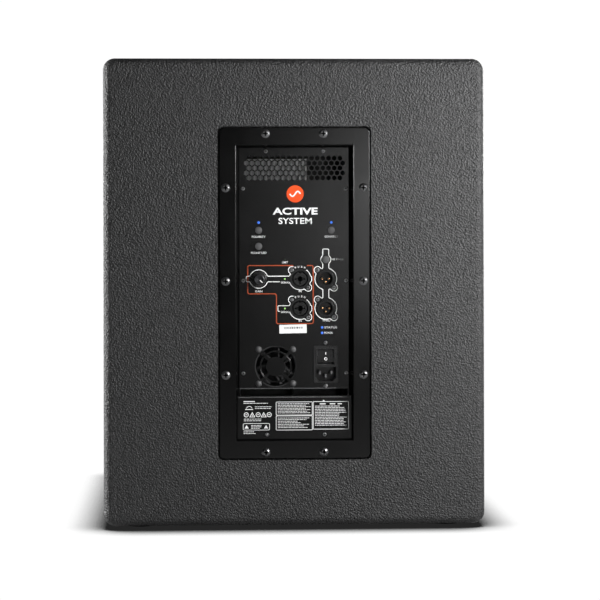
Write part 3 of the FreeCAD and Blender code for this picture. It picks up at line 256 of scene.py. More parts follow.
def cabinet_coat():
    """Sprayed black coat: rounded droplets a couple of millimetres across, glossier on their tops, with a painted
    highlight that makes their tops paler.
    """
    look = Look("cabinet_coat", 0.5)
    drops, lumps, fine = look.cells(0.0023, smooth=0.5), look.noise(0.0017, 2, roughness=0.5), look.noise(0.0008, 2)
    patches = look.noise(0.012, 3)
    height = look.mix(look.mix(lumps, drops, 0.6), fine, 0.25)
    # Painted highlight: the colour follows the droplets' height, so their tops are paler; random patches of tone are
    # mixed in.
    look.colours(look.mix(look.mix(lumps, fine, 0.3), patches, 0.25), (0.5, grey(0.004)), (0.98, grey(0.036)))
    look.roughness(look.mix(lumps, look.noise(0.06, 2), 0.3), 0.34, 0.50)
    look.bump(height, 0.0013, 1.0)
    return look.material


def plywood():
    look = Look("stained_plywood", 0.6)
    grain = look.waves(0.006, "X", look.stretched(1, 0.06, 1), 6.0)
    look.colours(look.mix(grain, look.noise(0.01, 4), 0.6), (0.2, (0.010, 0.009, 0.008)), (1.0, (0.035, 0.03, 0.026)))
    look.bump(grain, 0.0001)
    look.roughness(look.noise(0.01, 3), 0.5, 0.75)
    return look.material


def brushed(name, colour, roughness=0.3, direction=(1, 1, 30), **sockets):
    """Bare metal with fine drawn streaks and a cloudy tarnish."""
    look = Look(name, roughness, metallic=1.0, **sockets)
    streaks = look.noise(0.004, 3, look.stretched(*direction))
    cloud = look.noise(0.03, 4)
    look.colours(look.mix(streaks, cloud, 0.5), (0.35, tuple(c * 0.7 for c in colour)), (1.0, colour))
    look.roughness(look.mix(streaks, cloud, 0.5), roughness - 0.08, roughness + 0.12)
    look.bump(streaks, 0.00002)
    return look.material


def woven(name, dark, light, thread, roughness=0.8, depth=0.0003):
    """Plain weave of two thread directions."""
    look = Look(name, roughness, specular=0.2)
    warp, weft = look.waves(thread, "X"), look.waves(thread, "Z")
    cloth = look.mix(look.mix(warp, weft, operation="MAXIMUM"), look.noise(0.002, 3), 0.4)
    look.colours(cloth, (0.2, dark), (1.0, light))
    look.roughness(look.noise(0.003, 2), roughness - 0.1, roughness + 0.1)
    look.bump(cloth, depth)
    return look.material


def circuit_board():
    look = Look("circuit_board", 0.4)
    tracks = look.add("ShaderNodeTexBrick")
    tracks.inputs["Scale"].default_value = 160
    tracks.inputs["Mortar Size"].default_value = 0.03
    swapped = look.add("ShaderNodeMapping")
    swapped.inputs["Rotation"].default_value = (math.pi / 2, 0, 0)
    look.link(look.place, swapped.inputs["Vector"])
    look.link(swapped.outputs["Vector"], tracks.inputs["Vector"])
    look.colours(
        look.mix(tracks.outputs["Fac"], look.noise(0.005, 3), 0.4),
        (0.2, (0.001, 0.003, 0.0015)),
        (0.9, (0.004, 0.010, 0.005)),
    )
    look.roughness(look.noise(0.01, 2), 0.3, 0.5)
    look.bump(tracks.outputs["Fac"], 0.00005)
    return look.material


def lit(name, core, rim, strength, lit_below=None):
    """A lit lens: bright in the middle of its dome and deeper in colour at its edge; unlit above a height."""
    look = Look(name, 0.25)
    facing = look.add("ShaderNodeLayerWeight").outputs["Facing"]
    ramp = look.add("ShaderNodeValToRGB")
    ramp.color_ramp.elements[0].color = (*core, 1)
    ramp.color_ramp.elements[1].color = (*rim, 1)
    ramp.color_ramp.elements[1].position = 0.5
    look.link(look.mix(facing, look.noise(0.0006, 2), 0.2), ramp.inputs["Fac"])
    look.link(ramp.outputs["Color"], look.shader.inputs["Emission Color"])
    look.set("Base Color", (0.03, 0.04, 0.03))
    look.set("Emission Strength", strength)
    if lit_below is not None:
        height = look.height()
        glow = look.between(height, lit_below, lit_below + 0.001, strength, 0.0)
        look.link(glow, look.shader.inputs["Emission Strength"])
    return look.material


def contacts():
    """Gold pins in the signal sockets and plated blades in the mains inlet, told apart by their height."""
    look = Look("contacts", 0.3, metallic=1.0)
    low = look.height()
    mask = look.between(low, INLET_TOP, INLET_TOP + 0.001, 0.0, 1.0)
    look.colours(look.mix(mask, look.noise(0.004, 3), 0.2), (0.15, (0.3, 0.3, 0.31)), (0.9, (0.75, 0.42, 0.2)))
    look.roughness(look.noise(0.002, 2), 0.22, 0.42)
    look.bump(look.noise(0.0006, 2), 0.00001)
    return look.material


def copper_winding():
    look = Look("copper_winding", 0.35, metallic=1.0)
    turns = look.waves(0.0006, "Y")
    look.colours(look.mix(turns, look.noise(0.01, 2), 0.3), (0.1, (0.25, 0.08, 0.03)), (1.0, (0.85, 0.42, 0.22)))
    look.roughness(look.noise(0.002, 2), 0.25, 0.45)
    look.bump(turns, 0.0002)
    return look.material


def cone_pulp():
    look = Look("cone_pulp", 0.7, specular=0.25)
    fibres = look.noise(0.003, 8, roughness=0.75, distortion=1.5)
    look.colours(fibres, (0.3, (0.012, 0.012, 0.012)), (0.8, (0.045, 0.043, 0.042)))
    look.roughness(fibres, 0.6, 0.8)
    look.bump(fibres, 0.0003)
    return look.material


def open_foam():
    look = Look("open_foam", 0.95, specular=0.1)
    pores = look.cells(0.0014, "F1")
    look.colours(look.mix(pores, look.noise(0.01, 2), 0.3), (0.1, (0.001, 0.001, 0.001)), (0.8, (0.02, 0.02, 0.02)))
    look.roughness(look.noise(0.004, 2), 0.88, 1.0)
    look.bump(pores, 0.0008)
    return look.material


COAT = cabinet_coat()
PLYWOOD = plywood()
POWDER = moulded("black_powder_coat", grey(0.018), 0.42, 0.0008, 0.00008)
SATIN = moulded("satin_frame", grey(0.001), 0.17, 0.0009, 0.00001, spread=0.02, specular=0.4)
SHEET_BLACK = moulded("panel_powder", grey(0.0015), 0.21, 0.0005, 0.00001, spread=0.02, specular=0.42)
SCREW_BLACK = moulded("black_oxide_steel", grey(0.55), 0.3, 0.0004, 0.00002, metallic=1.0)
FRAME_SCREW = moulded("zinc_black_steel", grey(0.20), 0.3, 0.0004, 0.00002, metallic=1.0)
GLOSS = moulded("gloss_black", grey(0.008), 0.14, 0.002, 0.000005, spread=0.03)
RUBBER = moulded("black_rubber", grey(0.016), 0.7, 0.0012, 0.00008, specular=0.3)
GRIP_RUBBER = moulded("grip_rubber", grey(0.02), 0.65, 0.0007, 0.0001, specular=0.3)
RIVET_RUBBER = moulded("rivet_rubber", grey(0.07), 0.5, 0.0009, 0.00006)
HANDLE = moulded("handle_moulding", grey(0.014), 0.48, 0.0009, 0.0001)
BASKET = moulded("basket_paint", grey(0.014), 0.5, 0.0025, 0.0002)
PLATED = brushed("plated_steel", (0.62, 0.62, 0.6), 0.34)
TUB_STEEL = brushed("zinc_sheet", (0.5, 0.51, 0.52), 0.4)
FERRITE = moulded("ground_ferrite", grey(0.045), 0.55, 0.0007, 0.0001)
FINS = brushed("extruded_aluminium", (0.38, 0.378, 0.376), 0.42, (1, 20, 1))
GOLD = contacts()
BUTTON = moulded("button_grey", grey(0.08), 0.36, 0.0005, 0.00003)
KNOB_GREY = moulded("knob_grey", grey(0.012), 0.26, 0.0006, 0.00002)
CONNECTOR = moulded("connector_black", grey(0.005), 0.3, 0.0007, 0.00002)
FAN_BLACK = moulded("fan_moulding", grey(0.03), 0.2, 0.0008, 0.00003)
INLET_BLACK = moulded("inlet_moulding", grey(0.010), 0.26, 0.0008, 0.00002)
ROCKER = moulded("rocker_moulding", grey(0.007), 0.24, 0.0008, 0.00001)
KNOB_METAL = brushed("turned_cap", (0.07, 0.07, 0.075), 0.18)
# Painted shade: a near-black, matt sheet laid in the screw recesses.
PAINTED_RECESS_SHADE = moulded("recess_painted_shade", grey(0.002), 0.8, 0.0004, 0.00001, specular=0.1)
# Painted highlight: a pale grey laid along the folded lips of the panel and the label plate.
PAINTED_LIP_HIGHLIGHT = moulded("painted_sheet_lip_highlight", grey(0.16), 0.3, 0.0006, 0.00002)
# Painted highlight: a light grey laid round the inlet's bezel and rocker opening.
PAINTED_INLET_HIGHLIGHT = moulded("painted_inlet_outline_highlight", grey(0.26), 0.3, 0.0006, 0.00002)
WHITE_INK = moulded("white_ink", (0.86, 0.87, 0.87), 0.5, 0.0007, 0.00001)
ORANGE_INK = moulded("orange_ink", (0.36, 0.052, 0.010), 0.45, 0.0007, 0.00001)
BADGE_ORANGE = moulded("badge_orange", (0.80, 0.075, 0.006), 0.35, 0.001, 0.00001)
PAPER_WHITE = moulded("sticker_paper", (0.9, 0.9, 0.89), 0.6, 0.0008, 0.00003)
BLUE_LIGHT = lit("blue_light", (0.05, 0.25, 1.0), (0.0, 0.04, 0.55), 1.15)
GREEN_LIGHT = lit("green_light", (0.62, 1.0, 0.35), (0.2, 0.5, 0.1), 1.0, PANEL_Z + 0.030)
COPPER, PULP, FOAM, BOARD = copper_winding(), cone_pulp(), open_foam(), circuit_board()
SPIDER_CLOTH = woven("spider_cloth", (0.25, 0.13, 0.04), (0.6, 0.38, 0.15), 0.0012)
SURROUND = moulded("coated_cloth_edge", grey(0.02), 0.55, 0.0012, 0.0002, specular=0.3)

FINISHES = [
    (COAT, "top_panel bottom_panel left_side_panel right_side_panel rear_panel"),
    (PLYWOOD, "front_baffle port_shelf port_divider window_brace grille_blocks"),
    (POWDER, "front_grille pole_socket"),
    (FOAM, "grille_foam"),
    (SCREW_BLACK, "grille_screws cabinet_screws woofer_screws panel_screws connector_screws"),
    (FRAME_SCREW, "frame_screws"),
    (GLOSS, "front_badge"),
    (RUBBER, "rubber_feet amp_gasket woofer_lead"),
    (RIVET_RUBBER, "fan_rivets"),
    (HANDLE, "left_handle_cup right_handle_cup"),
    (GRIP_RUBBER, "handle_grips"),
    (BASKET, "woofer_basket"),
    (PLATED, "woofer_motor_steel"),
    (FERRITE, "woofer_magnet transformer"),
    (SURROUND, "woofer_surround"),
    (SPIDER_CLOTH, "woofer_spider"),
    (PULP, "woofer_cone dust_cap"),
    (COPPER, "voice_coil"),
    (SATIN, "amp_frame"),
    (SHEET_BLACK, "control_panel label_plate"),
    (TUB_STEEL, "amp_tub"),
    (FINS, "heat_sink"),
    (BOARD, "power_board input_board"),
    (BLUE_LIGHT, "blue_led_lenses"),
    (GREEN_LIGHT, "signal_led_lenses"),
    (BUTTON, "polarity_button front_light_button connect_button high_pass_button"),
    (KNOB_GREY, "gain_knob"),
    (CONNECTOR, "combo_jacks thru_connectors latch_a latch_b gain_pot"),
    (GOLD, "contact_pins"),
    (FAN_BLACK, "fan_housing fan_rotor"),
    (INLET_BLACK, "inlet_housing"),
    (ROCKER, "power_rocker"),
]
for finish, names in FINISHES:
    for name in names.split():
        mesh = NODES[name].data
        mesh.materials.clear()
        mesh.materials.append(finish)

# ---- mesh helpers ----


def piece(name, vertices, faces, look, body="cabinet", smooth=None):
    """A mesh in the row frame that rides on a body; smooth is the angle in degrees above which edges stay sharp."""
    mesh = bpy.data.meshes.new(name)
    mesh.from_pydata([tuple(p) for p in vertices], [], faces)
    mesh.update()
    mesh.materials.append(look)
    obj = bpy.data.objects.new(name, mesh)
    bpy.context.scene.collection.objects.link(obj)
    if smooth is not None:
        mesh.polygons.foreach_set("use_smooth", [True] * len(mesh.polygons))
        mesh.set_sharp_from_angle(angle=math.radians(smooth))
    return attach(obj, body)


class Print:
    """Flat shapes printed on the panel, collected into one mesh."""

    def __init__(self, w, centre=(0.0, 0.0)):
        self.w, self.centre, self.points, self.faces = w, centre, [], []

    def place(self, u, v):
        return on_panel(u + self.centre[0], v + self.centre[1], self.w)

    def add(self, polygon):
        """A filled polygon of (u, v) points, anticlockwise as seen from behind."""
        first = len(self.points)
        self.points += [self.place(u, v) for u, v in polygon]
        self.faces.append(list(range(first, len(self.points))))

    def stroke(self, path, width, closed=False):
        """A line of even width with mitred corners."""
        path = [Vector(p) for p in path]
        count, sides = len(path), []
        for i, p in enumerate(path):
            before = path[i - 1] if i or closed else None
            after = path[(i + 1) % count] if i < count - 1 or closed else None
            turns = [(b - a).normalized() for a, b in ((before, p), (p, after)) if a is not None and b is not None]
            along = sum(turns, Vector((0, 0))).normalized()
            across = Vector((-along.y, along.x))
            reach = width / 2 / max(0.3, abs(across.dot(Vector((-turns[0].y, turns[0].x)))))
            sides.append((p + across * reach, p - across * reach))
        for i in range(count if closed else count - 1):
            (a, b), (c, d) = sides[i], sides[(i + 1) % count]
            self.add([b, d, c, a])

    def bar(self, u0, u1, v0, v1):
        self.add([(u0, v0), (u1, v0), (u1, v1), (u0, v1)])

    def text(self, words, u, v, width, height, bold=0.0, lean=0.0):
        """Generic lettering, fitted to a width and a capital height, centred on (u, v) and leaning by some degrees."""
        curve = bpy.data.curves.new("lettering", "FONT")
        curve.body, curve.offset, curve.resolution_u = words, bold, 4
        letters = bpy.data.objects.new("lettering", curve)
        bpy.context.scene.collection.objects.link(letters)
        mesh = bpy.data.meshes.new_from_object(letters.evaluated_get(bpy.context.evaluated_depsgraph_get()))
        flat = np.array([p.co[:2] for p in mesh.vertices])
        low, high = flat.min(0), flat.max(0)
        first = len(self.points)
        cos, sin = math.cos(math.radians(lean)), math.sin(math.radians(lean))
        for x, y in (flat - (low + high) / 2) / (high - low) * (width, height):
            self.points.append(self.place(u + x * cos - y * sin, v + x * sin + y * cos))
        self.faces += [[first + i for i in face.vertices] for face in mesh.polygons]
        bpy.data.objects.remove(letters)
        bpy.data.curves.remove(curve)
        bpy.data.meshes.remove(mesh)

    def build(self, name, look):
        obj = piece(name, self.points, self.faces, look)
        return obj


def arc(u, v, radius, start=0.0, end=360.0, steps=72):
    turns = [math.radians(start + (end - start) * i / steps) for i in range(steps + 1)]
    return [(u + radius * math.cos(a), v + radius * math.sin(a)) for a in turns]


def rounded(u0, u1, v0, v1, radius, steps=8):
    """A closed rounded rectangle, anticlockwise, without its closing point."""
    path = []
    for cu, cv, start in (
        (u1 - radius, v1 - radius, 0),
        (u0 + radius, v1 - radius, 90),
        (u0 + radius, v0 + radius, 180),
        (u1 - radius, v0 + radius, 270),
    ):
        path += arc(cu, cv, radius, start, start + 90, steps)
    return path


def round_corners(points, radius, steps=6):
    """A closed path through points with every corner rounded."""
    path = []
    for i, corner in enumerate(points):
        corner = Vector(corner)
        back = (Vector(points[i - 1]) - corner).normalized()
        ahead = (Vector(points[(i + 1) % len(points)]) - corner).normalized()
        for k in range(steps + 1):
            t = k / steps
            path.append(corner + back * radius * (1 - t) ** 2 + ahead * radius * t**2)
    return path


class Shape:
    """An outline with a signed distance, negative inside."""

    def __init__(self, path, distance):
        self.path, self.distance = path, distance


def disc(u, v, radius):
    return Shape(arc(u, v, radius)[:-1], lambda p: math.hypot(p[0] - u, p[1] - v) - radius)


def slab(u0, u1, v0, v1, radius=0.5):
    cu, cv, hu, hv = (u0 + u1) / 2, (v0 + v1) / 2, (u1 - u0) / 2, (v1 - v0) / 2

    def distance(p):
        du, dv = abs(p[0] - cu) - hu + radius, abs(p[1] - cv) - hv + radius
        return math.hypot(max(du, 0), max(dv, 0)) + min(max(du, dv), 0) - radius

    return Shape(rounded(u0, u1, v0, v1, radius), distance)


def ear(place, offset, radius=4.3):
    """The rounded tab round a connector's screw."""
    u, v = place
    reach = math.hypot(*offset)
    angle = math.degrees(math.atan2(offset[1], offset[0]))
    start = Vector(place)
    along = Vector(offset) / reach

    def distance(p):
        rel = Vector(p) - start
        t = min(max(rel.dot(along), 0), reach)
        return (rel - along * t).length - radius

    path = arc(u + offset[0], v + offset[1], radius, angle - 90, angle + 90, 24)
    path += arc(u, v, radius, angle + 90, angle + 270, 24)
    return Shape(path, distance)


def outline(ink, shapes, width, gaps=()):
    """Draws the outline of several shapes taken together, left out inside the gaps (u0, u1, v0, v1)."""
    for shape in shapes:
        others = [s for s in shapes if s is not shape]
        run = []
        for p in finely(shape.path):
            hidden = any(s.distance(p) < -0.02 for s in others)
            hidden = hidden or any(g[0] < p[0] < g[1] and g[2] < p[1] < g[3] for g in gaps)
            if hidden:
                if len(run) > 2:
                    ink.stroke(run, width)
                run = []
            else:
                run.append(p)
        if len(run) > 2:
            ink.stroke(run, width)


def finely(path, step=0.35):
    """The same closed path with points at most step apart."""
    points = []
    for a, b in zip(path, [*path[1:], path[0]]):
        a, b = Vector(a), Vector(b)
        count = max(1, math.ceil((b - a).length / step))
        points += [a.lerp(b, i / count) for i in range(count)]
    return [*points, Vector(path[0])]


def bead(name, paths, radius, look, body="cabinet"):
    """Rounded cords of metal along closed paths of row-frame points, such as the rolled edge of a pressing."""
    curve = bpy.data.curves.new(name, "CURVE")
    curve.dimensions, curve.bevel_depth, curve.bevel_resolution = "3D", radius, 2
    for path in paths:
        spline = curve.splines.new("POLY")
        spline.points.add(len(path) - 1)
        for point, place in zip(spline.points, path):
            point.co = (*place, 1)
        spline.use_cyclic_u = True
    holder = bpy.data.objects.new(name, curve)
    bpy.context.scene.collection.objects.link(holder)
    mesh = bpy.data.meshes.new_from_object(holder.evaluated_get(bpy.context.evaluated_depsgraph_get()))
    bpy.data.objects.remove(holder)
    mesh.polygons.foreach_set("use_smooth", [True] * len(mesh.polygons))
    mesh.materials.clear()
    mesh.materials.append(look)
    obj = bpy.data.objects.new(name, mesh)
    bpy.context.scene.collection.objects.link(obj)
    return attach(obj, body)


# ---- legends on the control panel ----

INK_LIFT = 0.04
RECESS_LIP_W = 2.75
ROCKER_UP = 9.2
POINTER_DEG = -45.0


def control_legends():
    ink = Print(PANEL_W - INK_LIFT)
    line, bar = 0.95, 3.35
    gaps = [(-16.4, -5.2, place[1] - 6, place[1] - 2) for place in (COMBO_A, COMBO_B)]
    gaps += [(place[0] - 7.6, place[0] + 7.6, place[1] + 9, place[1] + 18) for place in (COMBO_A, COMBO_B)]
    top_row = [
        disc(*KNOB, 11.0),
        slab(-57.2, COMBO_A[0] + 14.0, COMBO_A[1] - bar, COMBO_A[1] + bar, 1.8),
        disc(*COMBO_A, 13.1),
        *[ear(COMBO_A, offset) for offset in EARS],
    ]
    low_row = [
        slab(-19.2, COMBO_B[0] + 14.0, COMBO_B[1] - bar, COMBO_B[1] + bar, 1.2),
        disc(*COMBO_B, 13.1),
        *[ear(COMBO_B, offset) for offset in EARS],
    ]
    column = [
        slab(THRU_U - 3.6, THRU_U + 3.6, THRU_B[1], HIGH_PASS[1] + 12.5, 1.2),
        disc(*HIGH_PASS, 6.0),
        disc(*THRU_A, 13.1),
        disc(*THRU_B, 13.1),
        *[ear(place, offset) for place in (THRU_A, THRU_B) for offset in EARS],
    ]
    for group in (top_row, low_row, column):
        outline(ink, group, line, gaps)
    ink.text("ACTIVE", 1.7, 97.3, 54.0, 8.4, 0.03)
    ink.text("SYSTEM", 1.7, 85.6, 40.0, 7.4, 0.012)
    small = [
        ("POLARITY", POLARITY[0], POLARITY[1] - 7.7, 16.3),
        ("FRONT LED", FRONT_LIGHT[0], FRONT_LIGHT[1] - 7.8, 18.4),
        ("CONNECT", CONNECT[0], CONNECT[1] - 7.7, 16.2),
        ("LIMIT", -10.6, 36.0, 7.0),
        ("HI PASS", HIGH_PASS[0] + 14.0, HIGH_PASS[1] + 0.3, 13.8),
        ("SIGNAL", -10.6, COMBO_A[1] - 4.1, 9.6),
        ("SIGNAL", -10.6, COMBO_B[1] - 4.1, 9.6),
        ("GAIN", KNOB[0], KNOB[1] - 14.8, 8.6),
        ("IN", COMBO_A[0], COMBO_A[1] - 14.8, 3.4),
        ("IN", COMBO_B[0], COMBO_B[1] - 14.8, 3.4),
        ("THRU", THRU_U + 0.5, THRU_B[1] - 14.8, 9.2),
        ("STATUS", 44.0, -42.2, 15.0),
        ("POWER", 41.4, -48.7, 10.2),
    ]
    for words, u, v, width in small:
        ink.text(words, u, v, width, 2.4, 0.008)
    return ink.build("panel_legends", WHITE_INK)


def latch_letters(node, body, place):
    """The four letters along a release tab."""
    ink = Print(depth_of(node) - INK_LIFT)
    for letter, degrees in zip("PUSH", (112, 97.5, 82.5, 68)):
        turn = math.radians(degrees)
        u, v = place[0] + 14.6 * math.cos(turn), place[1] + 14.6 * math.sin(turn)
        ink.text(letter, u, v, 1.7, 2.3, 0.02, degrees - 90)
    letters = ink.build(f"{node}_letters", WHITE_INK)
    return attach(letters, body)


def orange_line():
    ink = Print(PANEL_W - INK_LIFT * 0.6)
    u_in, v_low, v_top = COMBO_A[0] + 15.8, -37.5, 32.2
    corners = [(-55.3, v_top), (-55.3, -1.6), (-21.0, -1.6), (-21.0, v_low), (u_in, v_low), (u_in, v_top)]
    path = finely(round_corners(corners, 2.6))
    gap = [p for p in path if not (abs(p[0] - COMBO_A[0]) < 8.0 and p[1] > 30)]
    split = next(i for i, (a, b) in enumerate(zip(gap, gap[1:])) if (a - b).length > 5)
    ink.stroke([*gap[split + 1 :], *gap[: split + 1]], 1.2)
    return ink.build("orange_line", ORANGE_INK)


def badge():
    """Plain orange disc with a white wave, standing slightly proud of the panel."""
    u, v, radius, high = 1.7, 118.0, 10.3, 0.8
    rings = [(radius, 0.0), (radius, high - 0.25), (radius - 0.25, high), (0.0, high + 0.05)]
    points, faces = [], []
    steps = 64
    for r, rise in rings:
        points += [on_panel(pu, pv, PANEL_W - rise) for pu, pv in arc(u, v, r, steps=steps)[:-1]]
    for k in range(len(rings) - 1):
        for i in range(steps):
            j = (i + 1) % steps
            faces.append([k * steps + i, k * steps + j, (k + 1) * steps + j, (k + 1) * steps + i])
    disc_piece = piece("badge_disc", points, faces, BADGE_ORANGE, smooth=40)
    ink = Print(PANEL_W - high - 0.12)
    wave = [(u + x, v + 3.0 * math.sin(x / 6.4 * math.pi)) for x in np.linspace(-6.4, 6.4, 41)]
    ink.stroke(wave, 1.7)
    return disc_piece, ink.build("badge_wave", WHITE_INK)


def sticker():
    """Blank white sticker, put on very slightly askew, with grey bars in place of any writing."""
    cu, cv, half_u, half_v, lean = -1.2, -43.8, 16.4, 5.2, math.radians(1.2)

    def turned(points):
        cos, sin = math.cos(lean), math.sin(lean)
        return [(cu + x * cos - y * sin, cv + x * sin + y * cos) for x, y in points]

    paper = Print(PANEL_W - 0.1)
    paper.add(turned([(x, y) for x, y in rounded(-half_u, half_u, -half_v, half_v, 0.6)]))
    bars = Print(PANEL_W - 0.14)
    x = -10.5
    rng = random.Random(4)
    while x < 11.5:
        width = rng.choice((0.5, 0.8, 1.2))
        bars.add(turned([(x, 0.2), (x + width, 0.2), (x + width, 2.4), (x, 2.4)]))
        x += width + rng.choice((0.5, 0.9))
    return paper.build("panel_sticker", PAPER_WHITE), bars.build("sticker_bars", RUBBER)


# ---- print on the label plate ----


def text_rows(ink, rng, u0, u1, v_top, v_bottom, pitch=1.8, height=0.7, short=0.25):
    """Rows of small bars that stand in for small print."""
    v = v_top
    while v - height > v_bottom:
        end = u1 - (rng.random() ** 3) * (u1 - u0) * short
        u = u0
        while u < end - 0.8:
            word = min(rng.uniform(1.2, 4.2), end - u)
            ink.bar(u, u + word, v - height, v)
            u += word + 0.55
        v -= pitch


def small_signs(ink):
    """Plain rings and triangles in a row, and a framed pair of triangles below them."""
    for i, u in enumerate((-58.8, -51.6, -44.6, -38.0, -31.4)):
        if i % 2:
            ink.stroke([(u - 2.9, 3.1), (u + 2.9, 3.1), (u, 8.3)], 0.8, closed=True)
            ink.bar(u - 0.4, u + 0.4, 3.9, 6.1)
        else:
            ink.stroke(arc(u, 5.7, 2.5, steps=28)[:-1], 0.8, closed=True)
            ink.bar(u - 1.2, u + 1.2, 5.3, 6.1)
    ink.stroke(rounded(-62.4, -31.0, -12.5, -4.7, 1.6, 6), 0.6, closed=True)
    for u in (-58.4, -35.2):
        ink.add([(u - 2.6, -10.7), (u + 2.6, -10.7), (u, -6.5)])


def label_print():
    """Ruled boxes with small bars in place of wording; places are from the middle of the plate."""
    middle_u, middle_v = panel_place("label_plate")
    ink = Print(LABEL_W - INK_LIFT, (middle_u + 1.1, middle_v - 1.6))
    rng = random.Random(11)
    for u0, u1, v0, v1 in ((-23.1, 20.0, 5.1, 20.7), (-23.1, 20.0, -12.7, 4.1), (21.2, 63.4, -11.9, 20.9)):
        ink.stroke(rounded(u0, u1, v0, v1, 0.8, 4), 0.7, closed=True)
    text_rows(ink, rng, -21.2, 18.2, 18.9, 6.3, 1.8)
    text_rows(ink, rng, -21.2, 16.5, 1.9, -11.3, 1.9, short=0.5)
    for u0, u1 in ((29.0, 36.0), (41.0, 47.5), (50.5, 55.5)):
        ink.bar(u0, u1, 17.6, 18.8)
    text_rows(ink, rng, 23.2, 61.4, 15.9, -9.3, 1.9)
    ink.add([(32.0, 21.1), (35.4, 21.1), (33.7, 23.3)])
    ink.bar(-62.0, -48.5, 20.9, 22.0)
    text_rows(ink, rng, -62.0, -31.5, 19.7, 17.9)
    ink.stroke(arc(-55.2, 12.1, 3.6, 20, 160, 20), 0.7)
    ink.bar(-60.0, -50.6, 11.6, 12.5)
    text_rows(ink, rng, -48.5, -28.8, 15.5, 11.5, 2.0)
    small_signs(ink)
    text_rows(ink, rng, -61.5, -35.0, 0.9, -3.1, 2.0)
    text_rows(ink, rng, -53.0, -40.6, -6.7, -11.3, 1.7)
    text_rows(ink, rng, -62.0, -46.5, -14.3, -18.5, 2.0)
    return ink.build("label_plate_print", WHITE_INK)


# ---- edge beads and painted edge highlights ----


def ring_path(place, radius, w, steps=72):
    return [on_panel(u, v, w) for u, v in arc(*place, radius, steps=steps)[:-1]]


def edge_beads_and_painted_highlights():
    """The rolled edges of the fan guard and the recess mouth, with pale cords of painted highlight along the folded
    lips that face each other across the slot and round the inlet's bezel and rocker opening.
    """
    w = PANEL_W + 0.25
    guard = [ring_path(FAN, r, w) for r in (18.8, 17.8)]
    lips = []
    for node, at_w, bottom in (("control_panel", w, True), ("label_plate", LABEL_W + 0.25, False)):
        low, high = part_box(node)
        half = (high.x - low.x) / 2 / MM - 0.3
        v = ((low.z if bottom else high.z) - PANEL_Z) / MM
        v0, v1 = (v, v + 0.6) if bottom else (v - 0.6, v)
        lips.append([on_panel(a, b, at_w) for a, b in rounded(-half, half, v0, v1, 0.25, 2)])
    mouth = [on_panel(u, v, RECESS_LIP_W) for u, v in rounded(-70.4, 70.4, -176.4, 176.4, 1.6, 6)]
    lip = bead("recess_lip", [mouth], 0.9 * MM, SATIN)
    low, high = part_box("inlet_housing")
    face_w = depth_of("inlet_housing")
    half_u, half_v = (high.x - low.x) / 2 / MM - 0.4, (high.z - low.z) / 2 / MM - 0.4
    u, v = INLET
    frames = [(u, v, half_u, half_v, 1.6, face_w + 1.2), (u, v + ROCKER_UP, 11.7, 10.2, 0.8, face_w + 0.3)]
    frames.append((u, v + ROCKER_UP, 10.3, 9.3, 0.5, face_w + 0.3))
    outlines = [
        [on_panel(a, b, w) for a, b in rounded(cu - hu, cu + hu, cv - hv, cv + hv, r, 4)]
        for cu, cv, hu, hv, r, w in frames
    ]
    # Painted highlight: light grey outlines round the inlet's bezel and rocker opening.
    bead("inlet_painted_highlights", outlines, 0.28 * MM, PAINTED_INLET_HIGHLIGHT)
    ring = bead("fan_guard_ring", guard, 0.45 * MM, SHEET_BLACK)
    # Painted highlight: pale cords along the two lips that face each other across the slot.
    edges = bead("sheet_lip_painted_highlights", lips, 0.3 * MM, PAINTED_LIP_HIGHLIGHT)
    return ring, edges


def knob_cap():
    """Turned metal cap on the gain knob: a dished face with a raised rim, level with the knob's pointer."""
    top = depth_of("gain_knob")
    profile = [(5.8, 0.5), (5.8, 0.2), (5.4, 0.02), (4.9, 0.02), (4.4, 0.28), (0.0, 0.34)]
    steps, points, faces = 60, [], []
    for radius, sink in profile:
        points += [on_panel(u, v, top + sink) for u, v in arc(*KNOB, max(radius, 0.01), steps=steps)[:-1]]
    for k in range(len(profile) - 1):
        for i in range(steps):
            j = (i + 1) % steps
            faces.append([k * steps + i, k * steps + j, (k + 1) * steps + j, (k + 1) * steps + i])
    cap = piece("knob_cap", points, faces, KNOB_METAL, "gain_control", smooth=35)
    ink = Print(top - INK_LIFT, KNOB)
    turn = math.radians(POINTER_DEG)
    ink.stroke([(r * math.cos(turn), r * math.sin(turn)) for r in (1.4, 5.6)], 1.1)
    pointer = ink.build("knob_pointer_line", PAPER_WHITE)
    return cap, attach(pointer, "gain_control")


# ---- painted shade in the screw recesses ----

# Vertices closer than this to a head's first one, in millimetres, belong to that head.
HEAD_SPAN = 12.0
# The cross recess, in parts of the head's radius.
CROSS_REACH, CROSS_HALF, CROSS_PEG, CROSS_DEPTH = 0.57, 0.145, 0.29, 0.15


def screw_places(node):
    """(u, v, w, radius) of every head in a node of screws, where w is the depth of its top."""
    heads = []
    for vertex in NODES[node].data.vertices:
        at = vertex.co
        u, v, w = -at.x / MM, (at.z - PANEL_Z) / MM, (REAR_Y - at.y) / MM
        head = next((h for h in heads if math.hypot(h[0][0] - u, h[0][1] - v) < HEAD_SPAN), None)
        if head is None:
            heads.append([(u, v, w)])
        else:
            head.append((u, v, w))
    places = []
    for head in heads:
        us, vs, ws = zip(*head)
        places.append(((min(us) + max(us)) / 2, (min(vs) + max(vs)) / 2, min(ws), (max(us) - min(us)) / 2))
    return places


